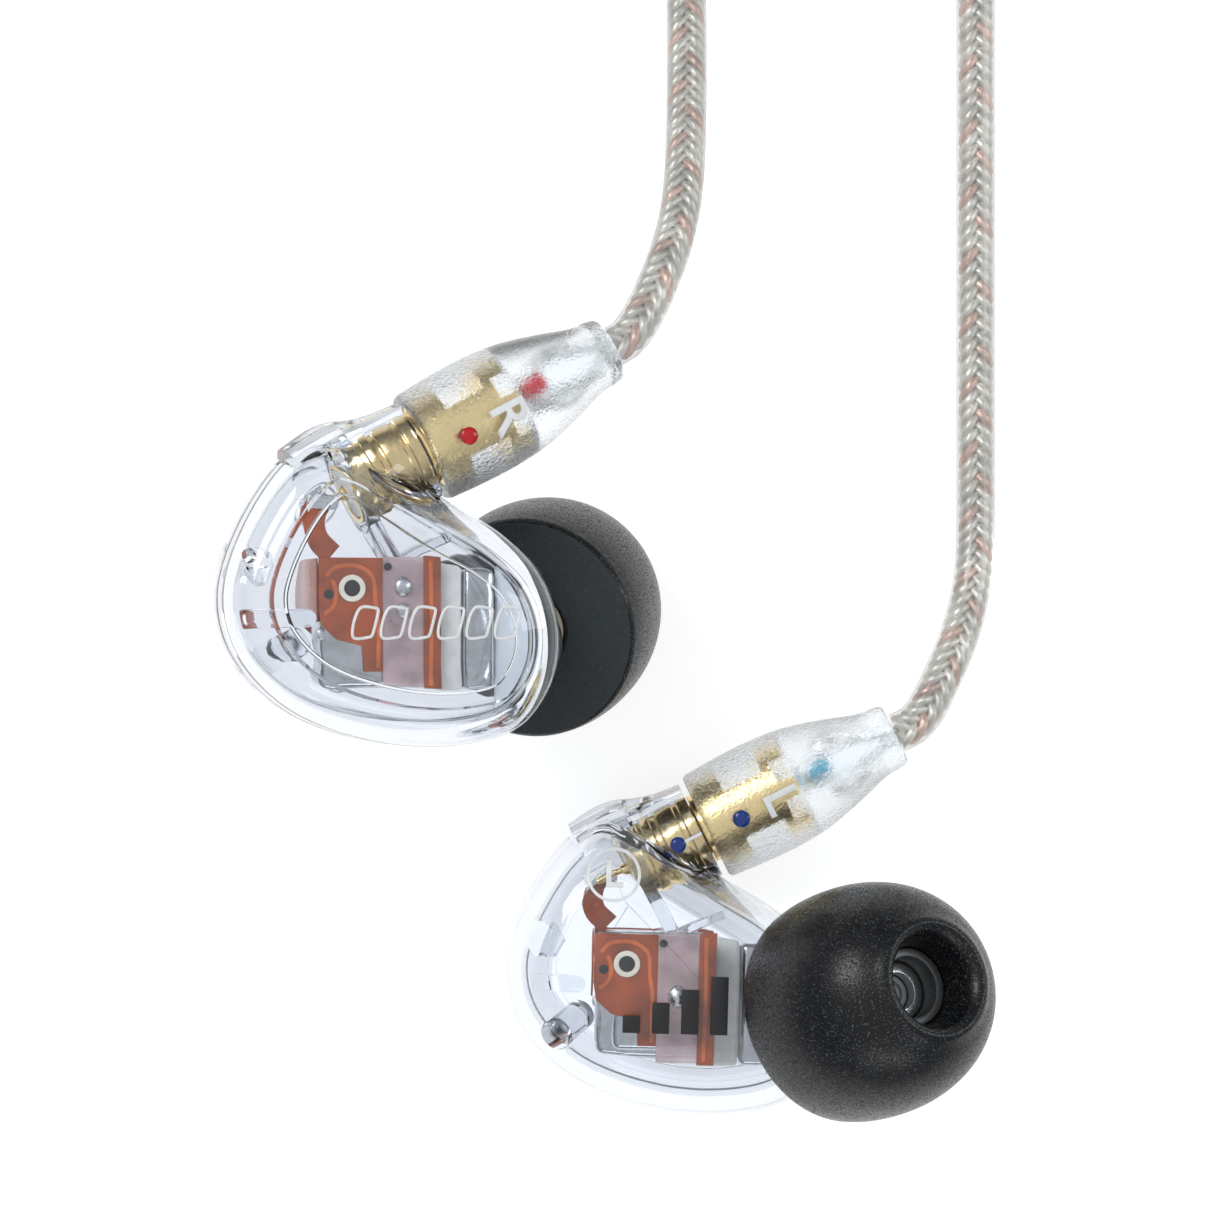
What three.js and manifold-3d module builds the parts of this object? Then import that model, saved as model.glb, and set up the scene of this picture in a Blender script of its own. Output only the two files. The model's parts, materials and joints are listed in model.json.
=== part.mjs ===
// A pair of detachable-cable in-ear monitors, laid flat. Millimetres, +Z up.
// The origin is on the surface they lie on, under the middle of the two earpieces.
//
// Each earpiece is drawn in its own frame: the seam between the two shells is the plane z = 0,
// the faceplate faces +Z, and the cable boot's front face is centred on the frame's origin.
// The left earpiece is the right one mirrored through the seam plane.

import * as THREE from 'three';
import { mergeVertices } from 'three/addons/utils/BufferGeometryUtils.js';
import Module from 'manifold-3d';

const wasm = await Module();
wasm.setup();

// ---- Driving dimensions ---------------------------------------------------------------------

const clearance = 0.05; // between a part and the bore it sits in
const seamGap = 0.06; // between the two shells
const faceGap = 0.05; // between parts that meet end to end

// Housing
const shellWall = 0.8;
const outerDepth = 3.6; // seam to the rim of the faceplate
const plateDepth = 4.2; // seam to the flat faceplate
const innerDepth = 5.2; // seam to the ear side
const plateInset = 1.9; // faceplate edge to the housing's outline
const neckRadius = 2.7;
const collarRadius = 3.2;
const neckStart = 0.3; // from the boot's front face
const collarStart = 2.9;
const collarTaper = 0.6;
const collarEnd = 6.5;

// Coaxial snap connector, distances measured from the boot's front face
const connectorAngle = THREE.MathUtils.degToRad(27.7);
const jackRadius = 1.95;
const jackBore = 1.6;
const jackStart = 0.35;
const jackLength = 4.05;
const jackRearWall = 0.8;
const contactRadius = 0.35;
const contactLength = 3.0;
const plugNoseRadius = 1.38;
const plugNoseLength = 2.8;
const plugBore = 0.98;
const pinRadius = 0.3;
const ringStart = -2.3;
const ringWidth = 0.6;
const ringGrooveDepth = 0.18;
const ringPlay = 0.07; // between the ring and the jack's bore
const cradleWall = 0.4;
const cradleWidth = 0.8;
const cradleReach = 3.75; // the end of the cradle's foot, from the connector's axis
const cradleFoot = 2.4;
const cradleRound = 0.12;

// Boot
const bootLength = 11;
const bootFrontRadius = 2.9;
const bootRadius = 3.05;
const bootRearRadius = 1.6;
const barrelStart = 0.2;
const barrelRadius = 2.3;
const barrelLength = 4.8;
const wireBore = 0.8;

// Drivers, as centre and size in the earpiece frame
const canDepth = 2.6;
const canGap = 0.15;
const wooferSize = [5.9, 6.6];
const wooferCentre = [-2.6, -8.8];
const tweeterSize = [2.5, 6.3, 3.4];
const tweeterCentre = [2.25, -9.05, -0.5];
const canTop = 1.4;
const flexThickness = 0.2;

// Nozzle and sleeve, distances measured along the nozzle from the sleeve's rear face
const nozzleSeat = new THREE.Vector3(6.8, -9.1, -5.5);
const nozzleAxis = new THREE.Vector3(0.518, 0.248, -0.819).normalize();
const nozzleRadius = 1.5;
const nozzleBore = 0.95;
const nozzleLength = 5.8;
const nozzleRoot = 2.6;
const flangeRadius = 1.85;
const flangeThickness = 0.5;
const bossWall = 0.75;
const bossGap = 0.7;
const ductRadius = 0.8;
const ductBore = 0.5;
const damperLength = 1.2;
const coreWall = 0.45;
const coreLength = 7.0;
const foamLength = 9.3;
const foamRadius = 6.0;
const foamRearRadius = 5.6;
const foamFrontRadius = 4.5;
const foamMouthRadius = 2.05;

// How each earpiece lies: where its boot's front face is, its lean and its turn
const placements = {
  right: { at: [-9.35, 13.95, 16.8], lean: THREE.MathUtils.degToRad(15), turn: 0 },
  left: { at: [5.16, -5.49, plateDepth], lean: 0, turn: THREE.MathUtils.degToRad(-1.5) },
};

// Cable
const leadRadius = 1.05;
const mainRadius = 1.25;
const coilBase = 0.5; // a coil rests on its tie
const turnGap = 0.05;
const splitCentre = [12, 1.85]; // where the cable's middle line runs: x, and height
const leadSpread = 1.2; // each lead from that line, through the slider and the split
const splitStart = 99.5;
const splitLength = 12.5;
const splitWidth = 6.4;
const splitTail = 3.6;
const sliderStart = 82;
const sliderLength = 6;
const tieWall = 0.35;
const tieWidth = 3;
const tieClearance = 0.15; // beside the coil
const tieGap = 0.1; // above and below the coil
const tieSag = 0.05; // a straight strap round a curved coil

const coils = {
  right: { radius: leadRadius, outerTurn: 12.85, columns: 2, layers: 3, centre: [-8.7, 56], tieAt: Math.PI },
  left: { radius: leadRadius, outerTurn: 12.32, columns: 2, layers: 3, centre: [31.76, 56], tieAt: 0 },
  main: {
    radius: mainRadius,
    outerTurn: 17.55,
    columns: 3,
    layers: 4,
    centre: [-5.55, 123.5],
    tieAt: Math.PI / 2,
  },
};

// Audio plug, lying on the surface beside the coil and pointing to -Y
const gripStart = [-20, 103];
const gripRadius = 3.2;
const gripLength = 18;
const gripNeckRadius = 1.9;
const audioRadius = 1.75;
const audioCoreRadius = 1.1;
const audioSleeveLength = 6.2;
const audioRingLength = 2.0;
const audioTipLength = 3.6;
const audioBand = 0.7;

// Routes of the cable where it isn't coiled
const leadRoutes = {
  right: [
    [0.15, 19.12, 14.2], [0.92, 19.54, 14], [1.48, 20.22, 13.8], [1.96, 21.07, 13.5], [2.45, 22.12, 13.1],
    [2.98, 23.45, 12.4], [3.42, 24.85, 11.6], [3.74, 26.35, 10.7], [3.93, 27.9, 9.7], [4.03, 29.5, 8.7],
    [4.1, 31.5, 7.45], [4.14, 34.5, 5.6], [4.15, 37.5, 4], [4.15, 41, 2.6], [4.15, 44.5, 1.85],
    [4.15, 48.3, 1.55],
  ],
  left: [
    [15.13, -0.59, 4.2], [15.93, -0.19, 4.17], [16.58, 0.5, 4.03], [17.2, 1.6, 3.72], [17.8, 2.88, 3.3],
    [18.32, 4.05, 2.85], [18.78, 5.4, 2.3], [19.13, 6.8, 1.85], [19.33, 8.3, 1.5], [19.42, 10, 1.25],
    [19.44, 12.5, 1.08], [19.44, 18, 1.05], [19.44, 24, 1.05], [19.44, 30, 1.05], [19.44, 36, 1.1],
    [19.44, 42, 1.3], [19.44, 48.5, 1.55],
  ],
};
const tailRoutes = {
  right: [
    [4.95, 64, 4.15], [5.8, 65, 3.8], [7.3, 68, 2.9], [8.8, 71, 2.25], [10, 74, 1.92],
    [10.65, 77, 1.85], [10.8, 80, 1.85], [10.8, 89.8, 1.85], [10.8, 99.45, 1.85],
  ],
  left: [
    [18.6, 64, 4.15], [17.9, 65, 3.8], [16.5, 68, 2.9], [15.1, 71, 2.25], [13.95, 74, 1.92],
    [13.35, 77, 1.85], [13.2, 80, 1.85], [13.2, 89.8, 1.85], [13.2, 99.45, 1.85],
  ],
};
const mainRoute = [[12, 112.05, 1.85], [12, 112.7, 1.83], [12, 113.3, 1.8]];
const mainTailRoute = [
  [-22.4, 112.3, 6.4], [-22.15, 111.4, 6], [-21.4, 109, 4.6], [-20.6, 106.8, 3.6], [-20.1, 105.4, 3.25],
  [-20, 104.2, 3.2], [-20, 103.12, 3.2],
];

// ---- Materials ------------------------------------------------------------------------------

function finish(color, roughness, metalness, opacity = 1) {
  return new THREE.MeshStandardMaterial({ color, roughness, metalness, opacity, transparent: opacity < 1 });
}

const clearPlastic = finish(0xdfe6ea, 0.08, 0, 0.35);
const frostedPlastic = finish(0xd5dde4, 0.45, 0, 0.55);
const clearJacket = finish(0xb4b1ac, 0.3, 0, 0.8);
const gold = finish(0xc9a04e, 0.28, 1);
const silver = finish(0xb9bcbf, 0.3, 1);
const whitePlastic = finish(0xe9e7e0, 0.5, 0);
const flexFilm = finish(0x9c4422, 0.4, 0);
const blackFoam = finish(0x1b1c1f, 0.9, 0);
const blackPlastic = finish(0x17181a, 0.45, 0);

// ---- Solids ---------------------------------------------------------------------------------

// Shared corners merged, flat triangles dropped, and faces turned outwards.
function welded(geometry) {
  const bare = geometry.clone();
  bare.deleteAttribute('normal');
  bare.deleteAttribute('uv');
  const merged = mergeVertices(bare, 1e-4);
  const position = merged.getAttribute('position');
  const index = merged.getIndex();
  const corner = [new THREE.Vector3(), new THREE.Vector3(), new THREE.Vector3()];
  const kept = [];
  let volume = 0;
  for (let i = 0; i < index.count; i += 3) {
    const face = [index.getX(i), index.getX(i + 1), index.getX(i + 2)];
    if (face[0] === face[1] || face[1] === face[2] || face[2] === face[0]) {
      continue;
    }
    face.forEach((vertex, k) => corner[k].fromBufferAttribute(position, vertex));
    volume += corner[0].dot(corner[1].cross(corner[2]));
    kept.push(face);
  }
  const outward = volume < 0 ? kept.map(([a, b, c]) => [a, c, b]) : kept;
  merged.setIndex(outward.flat());
  return merged;
}

function solid(geometry) {
  const closed = welded(geometry);
  const vertProperties = new Float32Array(closed.getAttribute('position').array);
  const triVerts = new Uint32Array(closed.getIndex().array);
  return new wasm.Manifold(new wasm.Mesh({ numProp: 3, vertProperties, triVerts }));
}

function geometryOf(manifold) {
  const mesh = manifold.getMesh();
  const geometry = new THREE.BufferGeometry();
  geometry.setAttribute('position', new THREE.BufferAttribute(mesh.vertProperties, 3));
  geometry.setIndex(new THREE.BufferAttribute(mesh.triVerts, 1));
  return geometry;
}

function joined(first, ...rest) {
  return geometryOf(rest.reduce((whole, geometry) => whole.add(solid(geometry)), solid(first)));
}

function cut(body, ...tools) {
  return geometryOf(tools.reduce((whole, tool) => whole.subtract(solid(tool)), solid(body)));
}

function common(first, second) {
  return geometryOf(solid(first).intersect(solid(second)));
}

// A turned part: profile points are [distance along the axis, radius].
function turned(profile, segments, origin, axis) {
  const points = profile.map(([along, radius]) => new THREE.Vector2(radius, along));
  const geometry = new THREE.LatheGeometry(points, segments);
  const turn = new THREE.Quaternion().setFromUnitVectors(new THREE.Vector3(0, 1, 0), axis);
  return geometry.applyQuaternion(turn).translate(origin.x, origin.y, origin.z);
}

function rod(start, end, radius) {
  return [[start, 0], [start, radius], [end, radius], [end, 0]];
}

function sleeve(start, end, outer, inner) {
  return [[start, inner], [start, outer], [end, outer], [end, inner], [start, inner]];
}

// A tube of eight sides along a smooth route.
function corded(route, radius, steps) {
  const points = route.map(([x, y, z]) => new THREE.Vector3(x, y, z));
  const path = new THREE.CatmullRomCurve3(points, false, 'centripetal');
  const section = new THREE.Shape(ringPoints(radius, 8));
  return new THREE.ExtrudeGeometry(section, { steps, extrudePath: path, bevelEnabled: false });
}

function ringPoints(radius, count) {
  return Array.from({ length: count }, (_, i) => {
    const angle = (i / count) * 2 * Math.PI;
    return new THREE.Vector2(radius * Math.cos(angle), radius * Math.sin(angle));
  });
}

function block(size, centre, round) {
  const [width, height, depth] = size.map((side) => side / 2 - round);
  const outline = new THREE.Shape();
  outline.moveTo(-width, -height);
  outline.lineTo(width, -height);
  outline.lineTo(width, height);
  outline.lineTo(-width, height);
  const options = { depth: 2 * depth, bevelSize: round, bevelThickness: round, bevelSegments: 1 };
  return new THREE.ExtrudeGeometry(outline, options).translate(centre[0], centre[1], centre[2] - depth);
}

// ---- Housing --------------------------------------------------------------------------------

const housingOutline = new THREE.CatmullRomCurve3(
  [
    [-5.45, 0.3], [-7.25, -0.8], [-9.45, -4.1], [-10.4, -7.4], [-9.75, -10.2], [-7.2, -12.95], [-3, -14.6],
    [1.5, -14.9], [4.75, -13.95], [6.45, -11.6], [6.75, -8.9], [5.75, -6.2], [3.9, -4.35], [1.2, -2.75],
    [-1.5, -1.15], [-3.7, 0.05],
  ].map(([x, y]) => new THREE.Vector3(x, y, 0)),
  true,
  'centripetal',
);

// The outline moved inwards by inset, which makes walls of one thickness.
function insetOutline(inset) {
  const samples = 36;
  return Array.from({ length: samples }, (_, i) => {
    const point = housingOutline.getPointAt(i / samples);
    const tangent = housingOutline.getTangentAt(i / samples);
    return new THREE.Vector2(point.x - tangent.y * inset, point.y + tangent.x * inset);
  });
}

// A closed dish on both sides of the seam, its rim rounded over roundSize by roundDepth.
function dish(inset, height, roundSize, roundDepth) {
  const depth = 2 * (height - roundDepth);
  const options = {
    depth,
    bevelSize: roundSize,
    bevelThickness: roundDepth,
    bevelOffset: -roundSize,
    bevelSegments: 3,
  };
  const outline = new THREE.Shape(insetOutline(inset));
  return new THREE.ExtrudeGeometry(outline, options).translate(0, 0, -depth / 2);
}

function slab(inset, from, to) {
  const options = { depth: to - from, bevelEnabled: false };
  return new THREE.ExtrudeGeometry(new THREE.Shape(insetOutline(inset)), options).translate(0, 0, from);
}

const connectorAxis = new THREE.Vector3(Math.cos(connectorAngle), Math.sin(connectorAngle), 0);
const frameOrigin = new THREE.Vector3();

function onConnector(profile, segments = 16) {
  return turned(profile, segments, frameOrigin, connectorAxis);
}

function onNozzle(profile, segments = 16) {
  return turned(profile, segments, nozzleSeat, nozzleAxis);
}

const neckBore = jackRadius + clearance;
const cradleRadius = neckBore + cradleWall;
const cradleEnd = jackStart + jackLength;

function neck() {
  return onConnector([
    [-collarEnd, 0], [-collarEnd, collarRadius], [-collarStart - collarTaper, collarRadius],
    [-collarStart, neckRadius], [-neckStart, neckRadius], [-neckStart, 0],
  ]);
}

// The jack's bore, opened out where the cradle clips round the jack.
function neckPocket() {
  return onConnector([
    [-collarEnd, 0], [-collarEnd, cradleRadius + clearance],
    [-cradleEnd + cradleWidth + clearance, cradleRadius + clearance],
    [-cradleEnd + cradleWidth + clearance, neckBore], [1, neckBore], [1, 0],
  ]);
}

const halfSpace = 40;

function seamBox(sign) {
  return new THREE.BoxGeometry(halfSpace, halfSpace, halfSpace).translate(
    0,
    -halfSpace / 5,
    sign * (halfSpace + seamGap) / 2,
  );
}

function outerShell() {
  const skin = joined(dish(0, outerDepth, 1.7, 2.4), slab(plateInset, 0, plateDepth), neck());
  const cavity = dish(shellWall, outerDepth - shellWall, 1.3, 1.9);
  const recess = slab(plateInset + shellWall, 0, plateDepth - shellWall);
  return common(cut(skin, cavity, recess, neckPocket()), seamBox(1));
}

const bossBore = nozzleRadius + clearance;
const flangeSeat = nozzleRoot - flangeThickness;

function nozzleBoss() {
  const root = flangeRadius + clearance + bossWall;
  return onNozzle([
    [-nozzleRoot - 1.6, 0], [-nozzleRoot - 1.6, root], [-flangeSeat + bossWall / 2, root],
    [-bossGap, bossBore + bossWall / 2], [-bossGap, 0],
  ]);
}

function nozzlePocket() {
  const pocket = flangeRadius + clearance;
  return onNozzle([
    [-nozzleRoot - 3, 0], [-nozzleRoot - 3, pocket], [-flangeSeat + clearance, pocket],
    [-flangeSeat + clearance, bossBore], [1, bossBore], [1, 0],
  ]);
}

function innerShell() {
  const skin = joined(dish(0, innerDepth, 2.3, 3.8), neck(), nozzleBoss());
  const cavity = dish(shellWall, innerDepth - shellWall, 1.5, 3);
  return common(cut(skin, cavity, neckPocket(), nozzlePocket()), seamBox(-1));
}

// ---- Inside the housing ---------------------------------------------------------------------

function jackBarrel() {
  const start = -jackStart - jackLength;
  const end = -jackStart;
  const groove = jackRadius - 0.15;
  return onConnector([
    [start, jackBore], [start, jackRadius], [start + 1.6, jackRadius], [start + 1.7, groove],
    [start + 2.1, groove], [start + 2.2, jackRadius], [end, jackRadius], [end, jackBore], [start, jackBore],
  ]);
}

const jackRear = -jackStart - jackLength;

function jackInsulator() {
  const outer = jackBore - clearance;
  return onConnector(sleeve(jackRear + faceGap, jackRear + jackRearWall, outer, contactRadius + clearance));
}

function jackContact() {
  const front = jackRear + jackRearWall + 0.2;
  return onConnector(rod(front - contactLength, front, contactRadius), 10);
}

// A clear clip round the back of the jack, with a foot that stands on the housing wall.
function jackCradle() {
  const ring = onConnector(sleeve(jackRear, jackRear + cradleWidth, cradleRadius, neckBore));
  const root = cradleRadius - cradleRound - 0.03;
  const middle = [jackRear + cradleWidth / 2, -(cradleReach + root) / 2, 0];
  const foot = block([cradleWidth, cradleReach - root, cradleFoot], middle, cradleRound)
    .rotateZ(connectorAngle);
  return joined(ring, foot);
}

const flexBottom = canTop + clearance;

// The film lies on the drivers and runs up to the jack's solder pad.
function flexCircuit() {
  const left = wooferCentre[0] - wooferSize[0] / 2;
  const right = wooferCentre[0] + wooferSize[0] / 2;
  const top = wooferCentre[1] + wooferSize[1] / 2;
  const bottom = wooferCentre[1] - wooferSize[1] / 2;
  const outline = new THREE.Shape();
  outline.moveTo(left, top);
  outline.quadraticCurveTo(left - 0.9, top + 1.2, left - 0.95, top + 2.3);
  outline.lineTo(left - 0.75, top + 3.7);
  outline.lineTo(left + 0.75, top + 3.9);
  outline.lineTo(left + 0.85, top + 2.9);
  outline.lineTo(left + 0.2, top + 2.4);
  outline.quadraticCurveTo(left + 0.3, top + 1.2, left + 1.1, top);
  outline.lineTo(right, top);
  outline.lineTo(right, bottom);
  outline.lineTo(left, bottom);
  const options = { depth: flexThickness, bevelEnabled: false, curveSegments: 4 };
  return new THREE.ExtrudeGeometry(outline, options).translate(0, 0, flexBottom);
}

function wooferA() {
  return block([...wooferSize, canDepth], [...wooferCentre, canTop - canDepth / 2], 0.25);
}

function wooferB() {
  const shorter = 0.9;
  const size = [wooferSize[0] - shorter, wooferSize[1] - shorter, canDepth];
  const centre = [wooferCentre[0] + shorter / 2, wooferCentre[1] + shorter / 2];
  return block(size, [...centre, canTop - canGap - 1.5 * canDepth], 0.25);
}

function tweeter() {
  return block(tweeterSize, tweeterCentre, 0.25);
}

const nozzleRear = nozzleSeat.clone().addScaledVector(nozzleAxis, -nozzleRoot);

// A short bent tube from the tweeter's side to the back of the nozzle.
function acousticDuct() {
  const wall = new THREE.Vector3(tweeterCentre[0] + tweeterSize[0] / 2 + faceGap, -9.4, -0.9);
  const end = nozzleRear.clone().addScaledVector(nozzleAxis, -faceGap);
  const outward = wall.clone().add(new THREE.Vector3(0.9, 0, 0));
  const inward = end.clone().addScaledVector(nozzleAxis, -0.9);
  const path = new THREE.CubicBezierCurve3(wall, outward, inward, end);
  const section = new THREE.Shape(ringPoints(ductRadius, 8));
  section.holes.push(new THREE.Path(ringPoints(ductBore, 8)));
  return new THREE.ExtrudeGeometry(section, { steps: 6, extrudePath: path, bevelEnabled: false });
}

// ---- Nozzle and sleeve ----------------------------------------------------------------------

function nozzle() {
  return onNozzle([
    [-nozzleRoot, nozzleBore], [-nozzleRoot, flangeRadius], [-flangeSeat, flangeRadius],
    [-flangeSeat, nozzleRadius],
    [nozzleLength - 0.3, nozzleRadius], [nozzleLength, nozzleRadius - 0.2], [nozzleLength, nozzleBore],
    [-nozzleRoot, nozzleBore],
  ]);
}

function damper() {
  return onNozzle(rod(nozzleLength - 0.6 - damperLength, nozzleLength - 0.6, nozzleBore - clearance), 12);
}

const coreBore = nozzleRadius + clearance;
const coreRadius = coreBore + coreWall;

function sleeveCore() {
  return onNozzle(sleeve(0.3, coreLength + 0.3, coreRadius, coreBore));
}

// The foam: a flat rear face, a full side, a rounded front, and a rolled-in mouth.
function foamTip() {
  const bore = coreRadius + clearance;
  const mouth = foamMouthRadius + 0.05;
  return onNozzle([
    [0, bore + 0.25], [0, foamRearRadius], [1.2, foamRadius - 0.07], [3, foamRadius],
    [4.9, foamRadius - 0.15], [6.7, foamRadius - 0.65], [8, foamFrontRadius + 0.2],
    [foamLength - 0.35, foamFrontRadius - 0.8],
    [foamLength, foamFrontRadius - 1.7], [foamLength - 0.35, mouth + 0.15], [coreLength + 0.4, mouth],
    [coreLength + 0.4, bore], [0.4, bore], [0, bore + 0.25],
  ], 24);
}

// ---- Cable side of the connector ------------------------------------------------------------

const bootBore = barrelRadius + clearance * 2;

function boot() {
  const end = barrelLength + 0.5;
  return onConnector([
    [0, bootBore], [0, bootFrontRadius - 0.15], [0.2, bootFrontRadius], [3.4, bootRadius],
    [6, bootRadius - 0.15], [8.3, bootRadius - 0.65], [bootLength - 1, bootRearRadius + 0.45],
    [bootLength, bootRearRadius],
    [bootLength, wireBore], [end, wireBore], [end, bootBore], [0, bootBore],
  ], 20);
}

// The gold barrel in the boot, its nose that enters the jack, and the groove for the snap ring.
function plugBarrel() {
  const groove = plugNoseRadius - ringGrooveDepth;
  const noseBore = pinRadius + 0.5;
  return onConnector([
    [-plugNoseLength, noseBore], [-plugNoseLength, plugNoseRadius], [ringStart, plugNoseRadius],
    [ringStart, groove], [ringStart + ringWidth, groove], [ringStart + ringWidth, plugNoseRadius],
    [barrelStart, plugNoseRadius], [barrelStart, barrelRadius], [barrelLength, barrelRadius],
    [barrelLength, plugBore], [barrelStart, plugBore], [barrelStart, noseBore],
    [-plugNoseLength, noseBore],
  ]);
}

function plugInsulator() {
  const outer = plugBore - clearance;
  return onConnector(sleeve(barrelStart + faceGap, barrelLength - 0.4, outer, pinRadius + clearance), 12);
}

function plugPin() {
  return onConnector(rod(-plugNoseLength + 0.1, barrelLength + 0.3, pinRadius), 10);
}

function snapRing() {
  const inner = plugNoseRadius - ringGrooveDepth + clearance;
  const outer = jackBore - ringPlay;
  return onConnector(sleeve(ringStart + clearance, ringStart + ringWidth - clearance, outer, inner));
}

// ---- Cable ----------------------------------------------------------------------------------

function coilSection(coil) {
  const pitch = 2 * coil.radius + turnGap;
  const outer = coil.outerTurn + coil.radius + turnGap;
  const inner = coil.outerTurn - (coil.columns - 1) * pitch - coil.radius - turnGap;
  const top = coilBase + (coil.layers - 1) * pitch + 2 * coil.radius + turnGap;
  return { outer, inner, top };
}

function rectangle(x, y) {
  const corners = [[-x, -y], [x, -y], [x, y], [-x, y]];
  return corners.map(([a, b]) => new THREE.Vector2(a, b));
}

// The outer shape of the wound cable, a ring of rectangular section.
function coilRing(coil) {
  const { outer, inner, top } = coilSection(coil);
  const profile = sleeve(coilBase, top, outer, inner);
  const centre = new THREE.Vector3(coil.centre[0], coil.centre[1], 0);
  return turned(profile, 36, centre, new THREE.Vector3(0, 0, 1));
}

// A strap round one place of the ring.
function coilTie(coil) {
  const { outer, inner, top } = coilSection(coil);
  const x = (outer - inner) / 2 + tieClearance + tieSag;
  const y = (top - coilBase) / 2 + tieGap;
  const loop = new THREE.Shape(rectangle(x + tieWall, y + tieWall));
  loop.holes.push(new THREE.Path(rectangle(x, y).reverse()));
  const middle = (outer + inner) / 2 - tieSag;
  return new THREE.ExtrudeGeometry(loop, { depth: tieWidth, bevelEnabled: false })
    .translate(0, 0, -tieWidth / 2)
    .rotateX(Math.PI / 2)
    .translate(middle, 0, (coilBase + top) / 2)
    .rotateZ(coil.tieAt)
    .translate(coil.centre[0], coil.centre[1], 0);
}

const alongCable = new THREE.Vector3(0, 1, 0);

function leadBore(offset, start, end) {
  const centre = new THREE.Vector3(splitCentre[0] + offset, 0, splitCentre[1]);
  return turned(rod(start, end, leadRadius + 2 * clearance), 12, centre, alongCable);
}

function slider() {
  const size = [2 * (leadSpread + leadRadius) + 1.9, sliderLength, 2 * splitCentre[1]];
  const body = block(size, [splitCentre[0], sliderStart + sliderLength / 2, splitCentre[1]], 0.6);
  const bores = [-leadSpread, leadSpread].map((offset) =>
    leadBore(offset, sliderStart - 1, sliderStart + sliderLength + 1),
  );
  return cut(body, ...bores);
}

function ySplit() {
  const round = 0.6;
  const half = splitWidth / 2 - round;
  const tail = splitTail / 2 - round;
  const start = splitStart + round;
  const end = splitStart + splitLength - round;
  const outline = new THREE.Shape();
  outline.moveTo(-half, start);
  outline.lineTo(half, start);
  outline.lineTo(half, start + 3.5);
  outline.quadraticCurveTo(tail, start + 6.5, tail, end);
  outline.lineTo(-tail, end);
  outline.quadraticCurveTo(-tail, start + 6.5, -half, start + 3.5);
  const depth = 2 * (splitCentre[1] - round);
  const options = { depth, bevelSize: round, bevelThickness: round, bevelSegments: 1, curveSegments: 3 };
  return new THREE.ExtrudeGeometry(outline, options).translate(splitCentre[0], 0, round);
}

// ---- Audio plug -----------------------------------------------------------------------------

const plugAxis = new THREE.Vector3(0, -1, 0);
const plugOrigin = new THREE.Vector3(gripStart[0], gripStart[1], gripRadius);

function onPlug(profile, segments = 16) {
  return turned(profile, segments, plugOrigin, plugAxis);
}

const audioStart = gripLength + faceGap;
const sleeveEnd = audioStart + audioSleeveLength;
const contactStart = sleeveEnd + audioBand;
const contactEnd = contactStart + audioRingLength;
const tipStart = contactEnd + audioBand;
const coreGap = audioCoreRadius + clearance;

function audioGrip() {
  return onPlug([
    [0, 0], [0, gripNeckRadius], [3.5, gripNeckRadius + 0.4], [5, gripRadius - 0.2], [6, gripRadius],
    [gripLength - 0.5, gripRadius], [gripLength, gripRadius - 0.4], [gripLength, 0],
  ]);
}

function audioSleeve() {
  return onPlug(sleeve(audioStart, sleeveEnd, audioRadius, coreGap));
}

function audioRing() {
  return onPlug(sleeve(contactStart, contactEnd, audioRadius, coreGap));
}

function audioTip() {
  return onPlug([
    [tipStart, 0], [tipStart, audioRadius - 0.1], [tipStart + 0.9, audioRadius - 0.35],
    [tipStart + 1.7, audioRadius], [tipStart + audioTipLength - 0.3, 0.5], [tipStart + audioTipLength, 0],
  ]);
}

// The black core, with the two bands that keep the contacts apart.
function audioCore() {
  const end = tipStart - faceGap;
  return onPlug([
    [audioStart, 0], [audioStart, audioCoreRadius], [sleeveEnd + faceGap, audioCoreRadius],
    [sleeveEnd + faceGap, audioRadius - 0.05], [contactStart - faceGap, audioRadius - 0.05],
    [contactStart - faceGap, audioCoreRadius], [contactEnd + faceGap, audioCoreRadius],
    [contactEnd + faceGap, audioRadius - 0.05], [end, audioRadius - 0.05], [end, 0],
  ]);
}

// ---- Assembly -------------------------------------------------------------------------------

const model = new THREE.Group();

function addPart(parent, name, geometry, material) {
  const shape = welded(geometry);
  shape.computeVertexNormals();
  const mesh = new THREE.Mesh(shape, material);
  mesh.name = name;
  parent.add(mesh);
}

const earpieceParts = [
  ['outer_shell', outerShell, clearPlastic],
  ['inner_shell', innerShell, clearPlastic],
  ['jack_barrel', jackBarrel, gold],
  ['jack_insulator', jackInsulator, whitePlastic],
  ['jack_contact', jackContact, gold],
  ['jack_cradle', jackCradle, clearPlastic],
  ['flex_circuit', flexCircuit, flexFilm],
  ['woofer_a', wooferA, silver],
  ['woofer_b', wooferB, silver],
  ['tweeter', tweeter, silver],
  ['acoustic_duct', acousticDuct, clearPlastic],
  ['nozzle', nozzle, silver],
  ['damper', damper, whitePlastic],
  ['sleeve_core', sleeveCore, whitePlastic],
  ['foam_tip', foamTip, blackFoam],
  ['boot', boot, frostedPlastic],
  ['plug_barrel', plugBarrel, gold],
  ['plug_insulator', plugInsulator, whitePlastic],
  ['plug_pin', plugPin, gold],
  ['snap_ring', snapRing, gold],
];

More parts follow.
